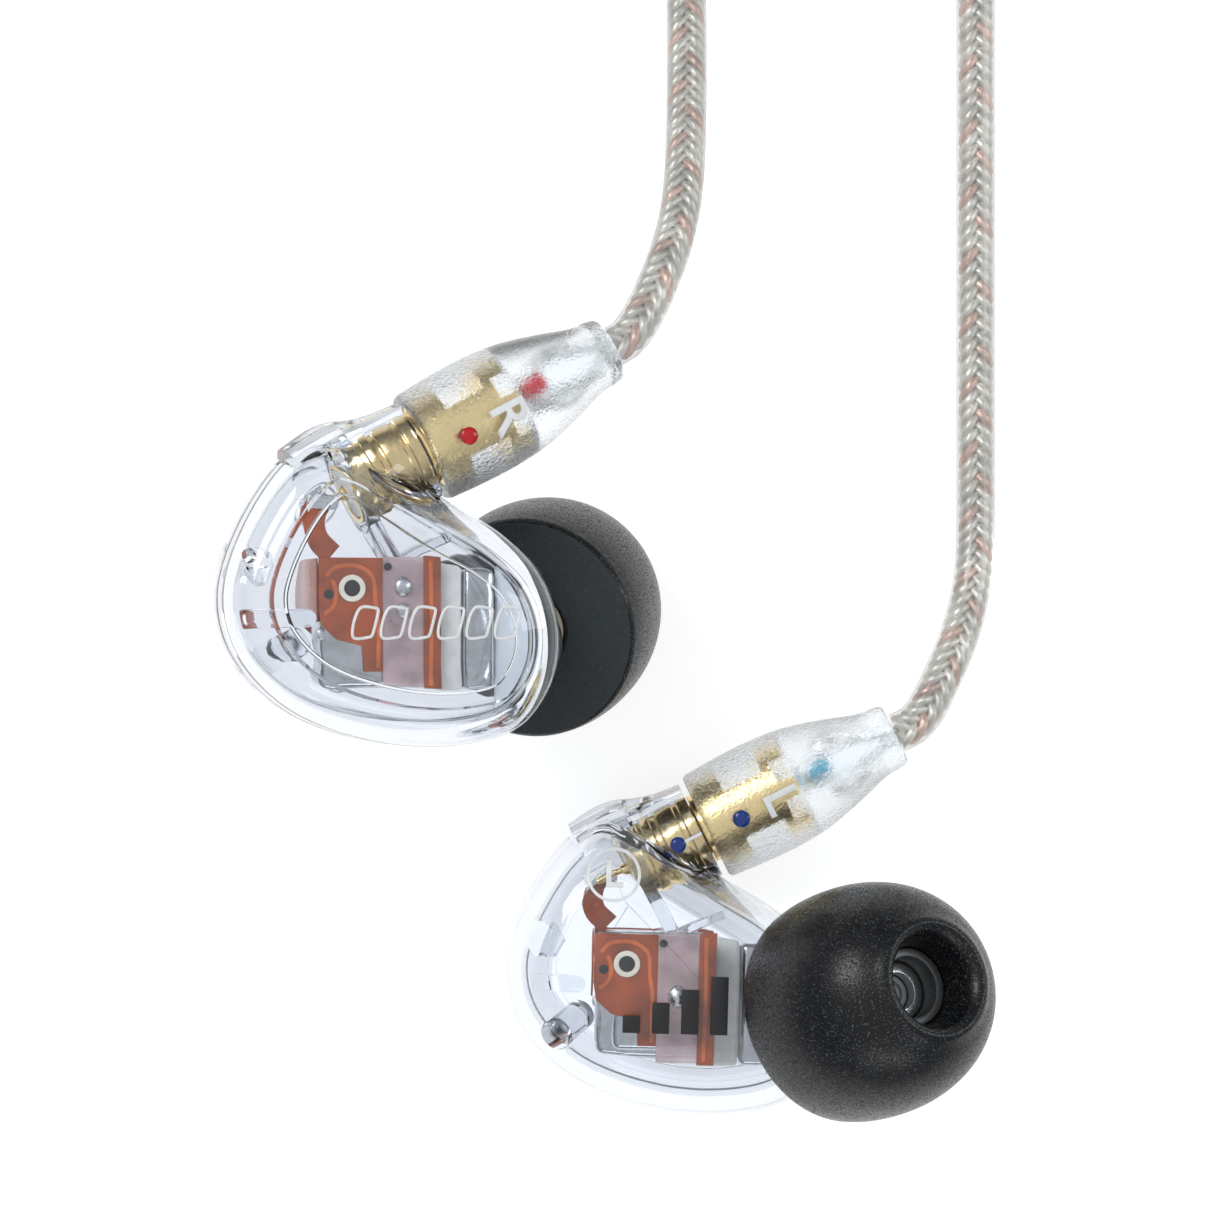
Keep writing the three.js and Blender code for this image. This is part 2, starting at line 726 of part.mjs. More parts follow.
for (const [side, placement] of Object.entries(placements)) {
  const earpiece = new THREE.Group();
  earpiece.position.set(...placement.at);
  earpiece.rotation.set(0, placement.lean, placement.turn);
  const mirror = side === 'left' ? -1 : 1;
  for (const [name, shape, material] of earpieceParts) {
    addPart(earpiece, `${side}_${name}`, shape().scale(1, 1, mirror), material);
  }
  model.add(earpiece);
  addPart(model, `${side}_lead`, corded(leadRoutes[side], leadRadius, 24), clearJacket);
  addPart(model, `${side}_lead_coil`, coilRing(coils[side]), clearJacket);
  addPart(model, `${side}_lead_tail`, corded(tailRoutes[side], leadRadius, 10), clearJacket);
}

addPart(model, 'slider', slider(), frostedPlastic);
addPart(model, 'y_split', ySplit(), frostedPlastic);
addPart(model, 'main_lead', corded(mainRoute, mainRadius, 2), clearJacket);
addPart(model, 'main_lead_coil', coilRing(coils.main), clearJacket);
addPart(model, 'main_lead_tail', corded(mainTailRoute, mainRadius, 8), clearJacket);
addPart(model, 'audio_plug_grip', audioGrip(), blackPlastic);
addPart(model, 'audio_plug_sleeve', audioSleeve(), gold);
addPart(model, 'audio_plug_ring', audioRing(), gold);
addPart(model, 'audio_plug_tip', audioTip(), gold);
addPart(model, 'audio_plug_core', audioCore(), blackPlastic);
for (const [name, coil] of Object.entries(coils)) {
  addPart(model, `${name}_coil_tie`, coilTie(coil), blackPlastic);
}

export default model;
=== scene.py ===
"""A pair of clear in-ear monitors on a detachable cable, laid on a pale table and seen from above.

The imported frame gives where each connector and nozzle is. Every piece is drawn in millimetres in the
earpiece's own frame, then placed in metres by one matrix per side.
"""
import json
import math

import bmesh
import bpy
from mathutils import Matrix, Vector
from mathutils.bvhtree import BVHTree


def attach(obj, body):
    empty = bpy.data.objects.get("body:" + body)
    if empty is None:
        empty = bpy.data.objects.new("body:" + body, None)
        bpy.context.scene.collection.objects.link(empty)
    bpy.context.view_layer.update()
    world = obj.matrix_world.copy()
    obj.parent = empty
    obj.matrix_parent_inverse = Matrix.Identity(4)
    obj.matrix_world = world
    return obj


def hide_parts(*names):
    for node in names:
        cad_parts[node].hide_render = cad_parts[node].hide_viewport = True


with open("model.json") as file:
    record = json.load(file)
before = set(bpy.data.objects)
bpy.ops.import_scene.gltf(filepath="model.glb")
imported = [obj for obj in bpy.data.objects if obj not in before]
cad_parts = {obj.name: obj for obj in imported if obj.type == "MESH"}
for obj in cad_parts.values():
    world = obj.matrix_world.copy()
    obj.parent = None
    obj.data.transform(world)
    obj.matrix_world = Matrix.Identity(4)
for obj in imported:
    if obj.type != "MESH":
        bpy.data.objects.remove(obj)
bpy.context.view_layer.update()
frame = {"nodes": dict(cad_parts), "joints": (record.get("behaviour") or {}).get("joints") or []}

bl_info = {
    "name": "In-Ear Monitor Pair",
    "version": (1, 0, 0),
    "blender": (4, 5, 0),
    "location": "View3D > Sidebar > Monitors",
    "description": "Builds a pair of clear in-ear monitors with foam sleeves and a wound cable",
    "category": "Add Mesh",
}

MM = 0.001
SIDES = ("right", "left")
JOINTS = {joint["name"]: joint for joint in frame["joints"]}

# How each earpiece lies: its lean about Y, its turn about Z, and whether it is the mirrored one.
LEAN = {"right": math.radians(15), "left": 0.0}
TURN = {"right": 0.0, "left": math.radians(-1.5)}
MIRROR = {"right": 1, "left": -1}
SIDE_LETTER = {"right": "R", "left": "L"}
CONNECTOR_ANGLE = math.radians(27.7)
NOZZLE_SEAT = Vector((6.8, -9.1, -5.5))
NOZZLE_AXIS = Vector((0.518, 0.248, -0.819)).normalized()


# ---- Sizes and colours --------------------------------------------------------------------------


def length(name, description, millimetres):
    return bpy.props.FloatProperty(
        name=name, description=description, default=millimetres * MM, unit="LENGTH", precision=5
    )


def colour(name, description, value):
    return bpy.props.FloatVectorProperty(
        name=name, description=description, default=value, subtype="COLOR", size=3, min=0, max=1
    )


class HousingSizes(bpy.types.PropertyGroup):
    wall: length("Wall", "Thickness of the shells", 0.8)
    plate_depth: length("Plate depth", "Seam to the flat faceplate", 4.2)
    plate_inset: length("Plate inset", "Outline to the edge of the faceplate", 1.9)
    inner_depth: length("Inner depth", "Seam to the ear side", 5.2)
    seam: length("Seam", "Half the gap between the shells", 0.03)


class ConnectorSizes(bpy.types.PropertyGroup):
    jack_radius: length("Jack radius", "Outside of the gold jack", 1.95)
    barrel_radius: length("Barrel radius", "Gold barrel inside the boot", 2.3)
    boot_length: length("Boot length", "Length of the frosted boot", 11)
    boot_radius: length("Boot radius", "Widest radius of the boot", 3.05)


class SleeveSizes(bpy.types.PropertyGroup):
    foam_length: length("Foam length", "Length of the foam sleeve", 9.2)
    foam_radius: length("Foam radius", "Widest radius of the foam sleeve", 6.0)
    nozzle_radius: length("Nozzle radius", "Outside of the nozzle tube", 1.5)


class CableSizes(bpy.types.PropertyGroup):
    lead_radius: length("Lead radius", "Each side's lead", 1.05)
    main_radius: length("Main radius", "The cable below the split", 1.25)
    strand_radius: length("Strand radius", "One bundle of wires in a lead", 0.23)
    plait_pitch: length("Plait pitch", "Length of one turn of the plait", 3.4)


class MonitorColours(bpy.types.PropertyGroup):
    foam: colour("Foam", "Foam sleeve", (0.0025, 0.003, 0.0035))
    gold: colour("Gold", "Plated contacts", (0.99, 0.75, 0.37))
    nickel: colour("Nickel", "Driver cans and nozzle", (0.66, 0.67, 0.68))
    film: colour("Film", "Flexible circuit", (0.42, 0.07, 0.01))
    trace: colour("Trace", "Conductors on the flexible circuit", (0.8, 0.17, 0.025))
    copper: colour("Copper", "Copper bundle in the cable", (0.85, 0.62, 0.55))
    right_mark: colour("Right mark", "Colour dot of the right side", (0.5, 0.006, 0.015))
    left_mark: colour("Left mark", "Colour dot of the left side", (0.008, 0.035, 0.22))
    left_sleeve: colour("Left wire sleeve", "Sleeve on the left boot's wires", (0.07, 0.38, 0.52))


def settings():
    return bpy.context.scene.monitor_settings


class MonitorSettings(bpy.types.PropertyGroup):
    housing: bpy.props.PointerProperty(type=HousingSizes, name="Housing", description="Housing sizes")
    connector: bpy.props.PointerProperty(type=ConnectorSizes, name="Connector", description="Connector sizes")
    sleeve: bpy.props.PointerProperty(type=SleeveSizes, name="Sleeve", description="Sleeve sizes")
    cable: bpy.props.PointerProperty(type=CableSizes, name="Cable", description="Cable sizes")
    colours: bpy.props.PointerProperty(type=MonitorColours, name="Colours", description="Colours")


# ---- Placing ------------------------------------------------------------------------------------


def earpiece_matrix(side):
    """From the earpiece's own millimetres to the frame's metres."""
    at = Vector(JOINTS[f"{side}_swivel"]["pos_m"])
    lay = Matrix.Rotation(LEAN[side], 4, "Y") @ Matrix.Rotation(TURN[side], 4, "Z")
    return Matrix.Translation(at) @ lay @ Matrix.Diagonal((MM, MM, MM * MIRROR[side], 1))


def along(origin, axis):
    """A frame whose X runs along the axis."""
    z_axis = Vector((0, 0, 1)) if abs(axis.z) < 0.9 else Vector((0, 1, 0))
    y_axis = z_axis.cross(axis).normalized()
    z_axis = axis.cross(y_axis)
    columns = Matrix((axis, y_axis, z_axis)).transposed().to_4x4()
    return Matrix.Translation(origin) @ columns


CONNECTOR = Matrix.Rotation(CONNECTOR_ANGLE, 4, "Z")
NOZZLE = along(NOZZLE_SEAT, NOZZLE_AXIS)
UP = Vector((0, 0, 1))


def upright(x, y, z=0.0):
    """A frame whose X runs straight up from the spot."""
    return along(Vector((x, y, z)), UP)


def past_seat(face):
    """How far the face lies along the nozzle."""
    return (face.calc_center_median() - NOZZLE_SEAT).dot(NOZZLE_AXIS)


def linked(name, data):
    """A new object in the scene."""
    made = bpy.data.objects.new(name, data)
    bpy.context.scene.collection.objects.link(made)
    return made


# ---- Mesh helpers -------------------------------------------------------------------------------


def catmull(points, spacing, closed=False):
    """A smooth line through the points, sampled about every spacing."""
    points = [Vector(p) for p in points]
    if closed:
        points = [points[-1]] + points + points[:2]
    else:
        points = [2 * points[0] - points[1]] + points + [2 * points[-1] - points[-2]]
    line = []
    for p0, p1, p2, p3 in zip(points, points[1:], points[2:], points[3:]):
        knots = [0.0]
        for a, b in ((p0, p1), (p1, p2), (p2, p3)):
            knots.append(knots[-1] + max((b - a).length, 1e-9) ** 0.5)
        t0, t1, t2, t3 = knots
        steps = max(1, round((p2 - p1).length / spacing))
        for step in range(steps):
            t = t1 + (t2 - t1) * step / steps
            a1 = p0 * ((t1 - t) / (t1 - t0)) + p1 * ((t - t0) / (t1 - t0))
            a2 = p1 * ((t2 - t) / (t2 - t1)) + p2 * ((t - t1) / (t2 - t1))
            a3 = p2 * ((t3 - t) / (t3 - t2)) + p3 * ((t - t2) / (t3 - t2))
            b1 = a1 * ((t2 - t) / (t2 - t0)) + a2 * ((t - t0) / (t2 - t0))
            b2 = a2 * ((t3 - t) / (t3 - t1)) + a3 * ((t - t1) / (t3 - t1))
            line.append(b1 * ((t2 - t) / (t2 - t1)) + b2 * ((t - t1) / (t2 - t1)))
    if not closed:
        line.append(points[-2])
    return line


def evened(line, count):
    """The closed line resampled at equal distances."""
    closed = line + [line[0]]
    reach = [0.0]
    for a, b in zip(closed, closed[1:]):
        reach.append(reach[-1] + (b - a).length)
    even, k = [], 0
    for i in range(count):
        want = reach[-1] * i / count
        while reach[k + 1] < want:
            k += 1
        share = (want - reach[k]) / (reach[k + 1] - reach[k])
        even.append(closed[k].lerp(closed[k + 1], share))
    return even


def filleted(profile, radius, segments=3):
    """The open profile with its inner corners rounded by arcs."""
    points = [Vector(p) for p in profile]
    rounded = [points[0]]
    for before, corner, after in zip(points, points[1:], points[2:]):
        back, ahead = before - corner, after - corner
        reach = min(radius, 0.45 * back.length, 0.45 * ahead.length)
        start, end = corner + back.normalized() * reach, corner + ahead.normalized() * reach
        for i in range(segments + 1):
            t = i / segments
            rounded.append(start.lerp(corner, t).lerp(corner.lerp(end, t), t))
    rounded.append(points[-1])
    return rounded


def turned(profile, matrix=Matrix(), segments=64):
    """A profile of (along, radius) points spun about X. Both ends lie on the axis, or it closes."""
    bm = bmesh.new()
    verts = [bm.verts.new((point[0], point[1], 0)) for point in profile]
    edges = [bm.edges.new(pair) for pair in zip(verts, verts[1:])]
    bmesh.ops.spin(
        bm, geom=verts + edges, cent=(0, 0, 0), axis=(1, 0, 0),
        angle=2 * math.pi, steps=segments, use_merge=True
    )
    bmesh.ops.remove_doubles(bm, verts=bm.verts[:], dist=1e-4)
    bmesh.ops.recalc_face_normals(bm, faces=bm.faces[:])
    bm.transform(matrix)
    return bm


def sleeve(start, end, outer, inner, rounding=0.06):
    """The profile of a tube with rounded edges."""
    middle = (start + end) / 2
    corners = [(middle, inner), (start, inner), (start, outer), (end, outer), (end, inner), (middle, inner)]
    return filleted(corners, rounding)


def rod(start, end, radius, rounding=0.06):
    return filleted([(start, 0), (start, radius), (end, radius), (end, 0)], rounding)


def bevelled(bm, edges, offset, segments):
    bmesh.ops.bevel(
        bm, geom=edges, offset=offset, offset_type="OFFSET", segments=segments, profile=0.5,
        affect="EDGES", material=-1,
    )


def only(kind, grown):
    """The vertices or the edges of what an operator returned."""
    return [item for item in grown["geom"] if isinstance(item, kind)]


def block(size, centre, rounding, segments=3, matrix=Matrix()):
    bm = bmesh.new()
    bmesh.ops.create_cube(bm, size=1)
    bmesh.ops.scale(bm, vec=size, verts=bm.verts[:])
    bmesh.ops.translate(bm, vec=centre, verts=bm.verts[:])
    if rounding:
        bevelled(bm, bm.edges[:], rounding, segments)
    bm.transform(matrix)
    return bm


def plate(outline, low, high, rounding=0.0):
    """A flat outline of (x, y) points given a thickness from low to high."""
    bm = bmesh.new()
    face = bm.faces.new([bm.verts.new((x, y, low)) for x, y in outline])
    top = only(bmesh.types.BMVert, bmesh.ops.extrude_face_region(bm, geom=[face]))
    bmesh.ops.translate(bm, vec=(0, 0, high - low), verts=top)
    bmesh.ops.recalc_face_normals(bm, faces=bm.faces[:])
    if rounding:
        bevelled(bm, [e for e in bm.edges if abs(e.verts[0].co.z - e.verts[1].co.z) < 1e-6], rounding, 2)
    return bm


def ball(centre, radius, squash=(1, 1, 1), matrix=Matrix()):
    bm = bmesh.new()
    bmesh.ops.create_uvsphere(bm, u_segments=24, v_segments=14, radius=radius)
    bmesh.ops.scale(bm, vec=squash, verts=bm.verts[:])
    bmesh.ops.translate(bm, vec=centre, verts=bm.verts[:])
    bm.transform(matrix)
    return bm


def swept(line, radius, sides=10, matrix=Matrix()):
    """A round bar along a line, made by extruding its end ring from point to point."""
    bm = bmesh.new()
    line = [Vector(p) for p in line]
    side = Vector((0, 0, 1))
    ring = None
    for i, point in enumerate(line):
        ahead = (line[min(i + 1, len(line) - 1)] - line[max(i - 1, 0)]).normalized()
        side = (side - ahead * side.dot(ahead)).normalized()
        up = ahead.cross(side)
        spots = []
        for k in range(sides):
            angle = 2 * math.pi * k / sides
            spots.append(point + radius * (math.cos(angle) * side + math.sin(angle) * up))
        if ring is None:
            ring = [bm.verts.new(spot) for spot in spots]
            bm.faces.new(ring)
            continue
        edges = [bm.edges.get((ring[k], ring[(k + 1) % sides])) for k in range(sides)]
        grown = only(bmesh.types.BMVert, bmesh.ops.extrude_edge_only(bm, edges=edges))
        fresh = {v.co.to_tuple(6): v for v in grown}
        ring = [fresh[v.co.to_tuple(6)] for v in ring]
        for vert, spot in zip(ring, spots):
            vert.co = spot
    bm.faces.new(ring)
    bmesh.ops.recalc_face_normals(bm, faces=bm.faces[:])
    bm.transform(matrix)
    return bm


def letter(character, size, depth):
    """A raised letter lying on the plane z = 0 and centred."""
    font = bpy.data.curves.new("letter", "FONT")
    font.body = character
    font.size = size
    font.extrude = depth
    font.bevel_depth = 0.04
    font.bevel_resolution = 2
    font.align_x = "CENTER"
    font.align_y = "CENTER"
    holder = linked("letter", font)
    shape = bpy.data.meshes.new_from_object(holder.evaluated_get(bpy.context.evaluated_depsgraph_get()))
    bm = bmesh.new()
    bm.from_mesh(shape)
    bpy.data.objects.remove(holder)
    bpy.data.curves.remove(font)
    bpy.data.meshes.remove(shape)
    bmesh.ops.remove_doubles(bm, verts=bm.verts[:], dist=1e-4)
    return bm


def settled(shape, surface, lift=1):
    """Lets a flat shape, drawn at z = 0, down on the surface from its lift side."""
    bmesh.ops.triangulate(shape, faces=shape.faces[:])
    wide = [edge for edge in shape.edges if edge.calc_length() > 0.4]
    bmesh.ops.subdivide_edges(shape, edges=wide, cuts=3)
    for vert in shape.verts:
        start = Vector((vert.co.x, vert.co.y, 20 * lift))
        spot = surface.ray_cast(start, Vector((0, 0, -lift)))[0]
        vert.co.z += spot.z if spot else 0
    return shape


def merged(*parts):
    """Several separate shapes kept in one mesh."""
    whole = bmesh.new()
    for part in parts:
        shape = bpy.data.meshes.new("part")
        part.to_mesh(shape)
        part.free()
        whole.from_mesh(shape)
        bpy.data.meshes.remove(shape)
    return whole


def carved(base, *tools):
    """The base with each (operation, shape) joined to it, cut from it or shared with it."""
    objects = []
    for bm in (base, *(tool for _, tool in tools)):
        shape = bpy.data.meshes.new("work")
        bm.to_mesh(shape)
        bm.free()
        objects.append(linked("work", shape))
    for (operation, _), holder in zip(tools, objects[1:]):
        step = objects[0].modifiers.new("work", "BOOLEAN")
        step.operation, step.object, step.solver = operation, holder, "EXACT"
    result = bpy.data.meshes.new_from_object(objects[0].evaluated_get(bpy.context.evaluated_depsgraph_get()))
    bm = bmesh.new()
    bm.from_mesh(result)
    bpy.data.meshes.remove(result)
    for holder in objects:
        shape = holder.data
        bpy.data.objects.remove(holder)
        bpy.data.meshes.remove(shape)
    bmesh.ops.remove_doubles(bm, verts=bm.verts[:], dist=1e-5)
    return bm


def side_piece(name, bm, side, body, materials, replaces=(), sharp=35):
    """Makes one side's piece in metres, faces outwards, hangs it on its body and hides the parts it replaces.
    """
    matrix = earpiece_matrix(side)
    bm.transform(matrix)
    if matrix.determinant() < 0:
        bmesh.ops.reverse_faces(bm, faces=bm.faces[:])
    name = f"{side}_{name}"
    mesh = bpy.data.meshes.new(name)
    bm.to_mesh(mesh)
    bm.free()
    mesh.shade_smooth()
    mesh.set_sharp_from_angle(angle=math.radians(sharp))
    piece = linked(name, mesh)
    materials = materials if isinstance(materials, list) else [materials]
    for entry in materials:
        mesh.materials.append(entry)
    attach(piece, body if body == "cable" else f"{side}_{body}")
    if replaces:
        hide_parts(*[f"{side}_{node}" for node in replaces])
    return piece


# ---- Materials ----------------------------------------------------------------------------------


PLASTICS = {
    "white_bead": (0.8, 0.79, 0.75),
    "white_spacer": (0.82, 0.8, 0.76),
    "pale_inlay": (0.85, 0.86, 0.86),
    "cream_ring": (0.85, 0.8, 0.66),
    "beige_core": (0.42, 0.35, 0.25),
    # Near black: painted shade for the front of the sleeve tube, which sits deep in the foam's mouth.
    "painted_shade_core": (0.06, 0.063, 0.066),
    "grey_filter": (0.32, 0.34, 0.35),
    # Near black: painted shade for the discs that fill the film's holes.
    "painted_hole_shade": (0.01, 0.01, 0.011),
    "black_print": (0.012, 0.012, 0.014),
    "black_grip": (0.02, 0.02, 0.022),
    "black_strap": (0.025, 0.025, 0.028),
}


def material(name):
    """The named material, and whether it still has to be made."""
    found = bpy.data.materials.get(name)
    if found:
        return found, False
    made = bpy.data.materials.new(name)
    made.use_nodes = True
    return made, True


class Nodes:
    """Short names for building a node tree."""

    def __init__(self, made):
        self.tree = made.node_tree
        self.shader = self.tree.nodes["Principled BSDF"]
        self.output = self.tree.nodes["Material Output"]

    def add(self, kind, **values):
        node = self.tree.nodes.new(kind)
        for key, value in values.items():
            if hasattr(node, key):
                setattr(node, key, value)
            else:
                node.inputs[key.replace("_", " ")].default_value = value
        return node

    def link(self, source, target):
        self.tree.links.new(source, target)

    def place(self, scale=1.0):
        """Object coordinates, stretched by the scale."""
        where = self.add("ShaderNodeTexCoord")
        if scale == 1.0:
            return where.outputs["Object"]
        mapping = self.add("ShaderNodeMapping")
        mapping.inputs["Scale"].default_value = (scale,) * 3
        self.link(where.outputs["Object"], mapping.inputs["Vector"])
        return mapping.outputs["Vector"]

    def noise(self, scale, detail):
        node = self.add("ShaderNodeTexNoise", Scale=scale, Detail=detail)
        self.link(self.place(), node.inputs["Vector"])
        return node.outputs["Fac"]

    def ramp(self, source, target, *stops):
        """Sends the source through a ramp of colours, or of greys, to the shader's target."""
        node = self.add("ShaderNodeValToRGB")
        while len(node.color_ramp.elements) < len(stops):
            node.color_ramp.elements.new(0.5)
        for element, (position, value) in zip(node.color_ramp.elements, stops):
            element.position = position
            element.color = (*(value if isinstance(value, tuple) else (value,) * 3), 1)
        self.link(source, node.inputs["Fac"])
        self.link(node.outputs["Color"], self.shader.inputs[target])

    def bump(self, height, strength, distance):
        node = self.add("ShaderNodeBump", Strength=strength, Distance=distance)
        self.link(height, node.inputs["Height"])
        self.link(node.outputs["Normal"], self.shader.inputs["Normal"])

    def shine(self, **values):
        for key, value in values.items():
            self.shader.inputs[key.replace("_", " ")].default_value = value

    def lets_light_through(self, tint):
        """Lamps shine through the clear body instead of leaving a black shadow inside it."""
        rays = self.add("ShaderNodeLightPath")
        pass_through = self.add("ShaderNodeBsdfTransparent")
        pass_through.inputs["Color"].default_value = (*tint, 1)
        mix = self.add("ShaderNodeMixShader")
        self.link(rays.outputs["Is Shadow Ray"], mix.inputs["Fac"])
        self.link(self.shader.outputs["BSDF"], mix.inputs[1])
        self.link(pass_through.outputs["BSDF"], mix.inputs[2])
        self.link(mix.outputs["Shader"], self.output.inputs["Surface"])


def see_through(name, tint, ior, grain, roughness, bump, shadow, clear=1.0):
    """A clear plastic, wavy or frosted by its grain, a noise of (scale, detail)."""
    made, fresh = material(name)
    if fresh:
        n = Nodes(made)
        n.shine(Base_Color=(*tint, 1), IOR=ior, Transmission_Weight=clear)
        flow = n.noise(*grain)
        n.ramp(flow, "Roughness", *roughness)
        n.bump(flow, *bump)
        n.lets_light_through(shadow)
    return made


def clear_shell():
    return see_through(
        "shell_plastic", (0.835, 0.86, 0.9), 1.49, (220, 2), ((0.3, 0.0), (0.75, 0.035)), (0.05, 0.0004),
        (0.93, 0.95, 0.97),
    )


def frosted_clear():
    return see_through(
        "frosted_clear", (0.93, 0.96, 0.985), 1.45, (6000, 3), ((0.3, 0.02), (0.7, 0.1)), (0.6, 0.00011),
        (0.9, 0.92, 0.95),
    )


def cable_jacket():
    return see_through(
        "jacket_plastic", (0.78, 0.765, 0.735), 1.4, (900, 3), ((0.3, 0.04), (0.7, 0.14)), (0.08, 0.0002),
        (0.8, 0.79, 0.77), 0.82,
    )


def plated(name, tint, low, high, dark=0.8, relief=0.04):
    """A plated metal with a fine grain and slight staining, its roughness from low to high."""
    made, fresh = material(name)
    if fresh:
        n = Nodes(made)
        n.shine(Metallic=1.0)
        deep = tuple(value * dark for value in tint)
        n.ramp(n.noise(900, 4), "Base Color", (0.3, deep), (0.65, tuple(tint)))
        grain = n.noise(6000, 3)
        n.ramp(grain, "Roughness", (0.3, low), (0.7, high))
        n.bump(grain, relief, 0.00005)
    return made


def gold():
    return plated("gold_plate", settings().colours.gold, 0.12, 0.26, 0.92)


def nickel():
    return plated("nickel_can", settings().colours.nickel, 0.1, 0.24)


def silver_wire():
    return plated("silver_wire", (0.86, 0.86, 0.83), 0.35, 0.6, 0.65, 0.4)


def copper_wire():
    return plated("copper_wire", settings().colours.copper, 0.35, 0.6, 0.6, 0.6)


def solder():
    return plated("solder", (0.7, 0.71, 0.72), 0.18, 0.4)


def moulded(name, tint=None, low=0.35, high=0.5):
    """An opaque moulded plastic with a faint grain, its roughness from low to high."""
    made, fresh = material(name)
    if fresh:
        n = Nodes(made)
        tint = tuple(tint or PLASTICS[name])
        grain = n.noise(1800, 3)
        n.ramp(grain, "Base Color", (0.3, tuple(value * 0.85 for value in tint)), (0.7, tint))
        n.ramp(grain, "Roughness", (0.3, low), (0.7, high))
        n.bump(grain, 0.1, 0.00005)
    return made


def foam_skin():
    made, fresh = material("foam_skin")
    if fresh:
        n = Nodes(made)
        pores = n.noise(9500, 2)
        dark = tuple(settings().colours.foam)
        n.ramp(pores, "Base Color", (0.3, (0.002, 0.002, 0.003)), (0.56, dark), (0.7, (0.075, 0.08, 0.085)))
        n.ramp(pores, "Roughness", (0.34, 0.6), (0.5, 0.27))
        n.shine(Specular_IOR_Level=0.33, Sheen_Weight=0.02, Sheen_Roughness=0.3)
        n.bump(pores, 0.35, 0.00004)
    return made


def foam_face():
    """The cut rear face of the foam, duller and a little bluer than the moulded skin."""
    made, fresh = material("foam_face")
    if fresh:
        n = Nodes(made)
        cells = n.add("ShaderNodeTexVoronoi", Scale=5200)
        n.link(n.place(), cells.inputs["Vector"])
        distance = cells.outputs["Distance"]
        n.ramp(distance, "Base Color", (0.0, (0.06, 0.075, 0.08)), (0.22, (0.011, 0.017, 0.02)))
        n.shine(Roughness=0.7, Sheen_Weight=0.15, Sheen_Roughness=0.5)
        n.bump(distance, 0.4, 0.00006)
    return made


def film(name, tint, alpha=1.0):
    """Polyimide film, glossy and unevenly tinted."""
    made, fresh = material(name)
    if fresh:
        n = Nodes(made)
        cloud = n.noise(700, 4)
        n.ramp(cloud, "Base Color", (0.3, tuple(value * 0.45 for value in tint)), (0.7, tuple(tint)))
        n.shine(Roughness=0.22, Coat_Weight=0.4, Coat_Roughness=0.1, Alpha=alpha)
        n.bump(cloud, 0.15, 0.00015)
    return made


def haze():
    """Clear plastic with a satin face, which blurs and lightens what lies behind it."""
    made, fresh = material("satin_plastic")
    if fresh:
        n = Nodes(made)
        n.shine(Base_Color=(0.9, 0.93, 0.96, 1), IOR=1.4, Transmission_Weight=0.35)
        n.ramp(n.noise(500, 2), "Roughness", (0.3, 0.3), (0.7, 0.45))
    return made


def milky():
    """Pale soft silicone that light passes through."""
    made, fresh = material("milky_silicone")
    if fresh:
        n = Nodes(made)
        n.ramp(n.noise(600, 2), "Base Color", (0.3, (0.78, 0.82, 0.86)), (0.7, (0.92, 0.94, 0.96)))
        n.shine(Roughness=0.3, Subsurface_Weight=0.3, Subsurface_Scale=0.001)
    return made


# ---- Cable routes -------------------------------------------------------------------------------

LEAD_ROUTES = {
    "right": [
        (0.15, 19.12, 14.2), (0.92, 19.54, 14), (1.48, 20.22, 13.8), (1.96, 21.07, 13.5), (2.45, 22.12, 13.1),
        (2.98, 23.45, 12.4), (3.42, 24.85, 11.6), (3.74, 26.35, 10.7), (3.93, 27.9, 9.7), (4.03, 29.5, 8.7),
        (4.1, 31.5, 7.45), (4.14, 34.5, 5.6), (4.15, 37.5, 4), (4.15, 41, 2.6), (4.15, 44.5, 1.85),
        (4.15, 48.3, 1.55),
    ],
    "left": [
        (15.13, -0.59, 4.2), (15.93, -0.19, 4.17), (16.58, 0.5, 4.03), (17.2, 1.6, 3.72), (17.8, 2.88, 3.3),
        (18.32, 4.05, 2.85), (18.78, 5.4, 2.3), (19.13, 6.8, 1.85), (19.33, 8.3, 1.5), (19.42, 10, 1.25),
        (19.44, 12.5, 1.08), (19.44, 18, 1.05), (19.44, 24, 1.05), (19.44, 30, 1.05), (19.44, 36, 1.1),
        (19.44, 42, 1.3), (19.44, 48.5, 1.55),
    ],
}
TAIL_ROUTES = {
    "right": [
        (4.2, 58.5, 5.85), (4.35, 61, 5.5), (4.95, 64, 4.15), (5.8, 65, 3.8), (7.3, 68, 2.9), (8.8, 71, 2.25),
        (10, 74, 1.92), (10.65, 77, 1.85), (10.8, 80, 1.85), (10.8, 89.8, 1.85), (10.8, 99.45, 1.85),
    ],
    "left": [
        (19.4, 58.5, 5.85), (19.25, 61, 5.5), (18.6, 64, 4.15), (17.9, 65, 3.8), (16.5, 68, 2.9),
         (15.1, 71, 2.25),
        (13.95, 74, 1.92), (13.35, 77, 1.85), (13.2, 80, 1.85), (13.2, 89.8, 1.85), (13.2, 99.45, 1.85),
    ],
}
MAIN_ROUTE = [(12, 112.05, 1.85), (12, 112.7, 1.83), (12, 113.3, 1.8), (12, 118, 1.75)]
MAIN_TAIL_ROUTE = [
    (-23.1, 120, 9.4), (-23.05, 117, 9), (-22.8, 114.5, 7.8), (-22.4, 112.3, 6.4), (-22.15, 111.4, 6),
    (-21.4, 109, 4.6), (-20.6, 106.8, 3.6), (-20.1, 105.4, 3.25), (-20, 104.2, 3.2), (-20, 103.12, 3.2),
]
# Each turn's place in the coil's section, as (column from the outside, layer).
LEAD_TURNS = [(0, 0), (1, 0), (1, 1), (0, 1), (1, 2), (0, 2)]
MAIN_TURNS = [(0, 0), (1, 0), (2, 0), (2, 1), (1, 1), (0, 1), (0, 2), (1, 2), (2, 2), (2, 3), (1, 3), (0, 3)]
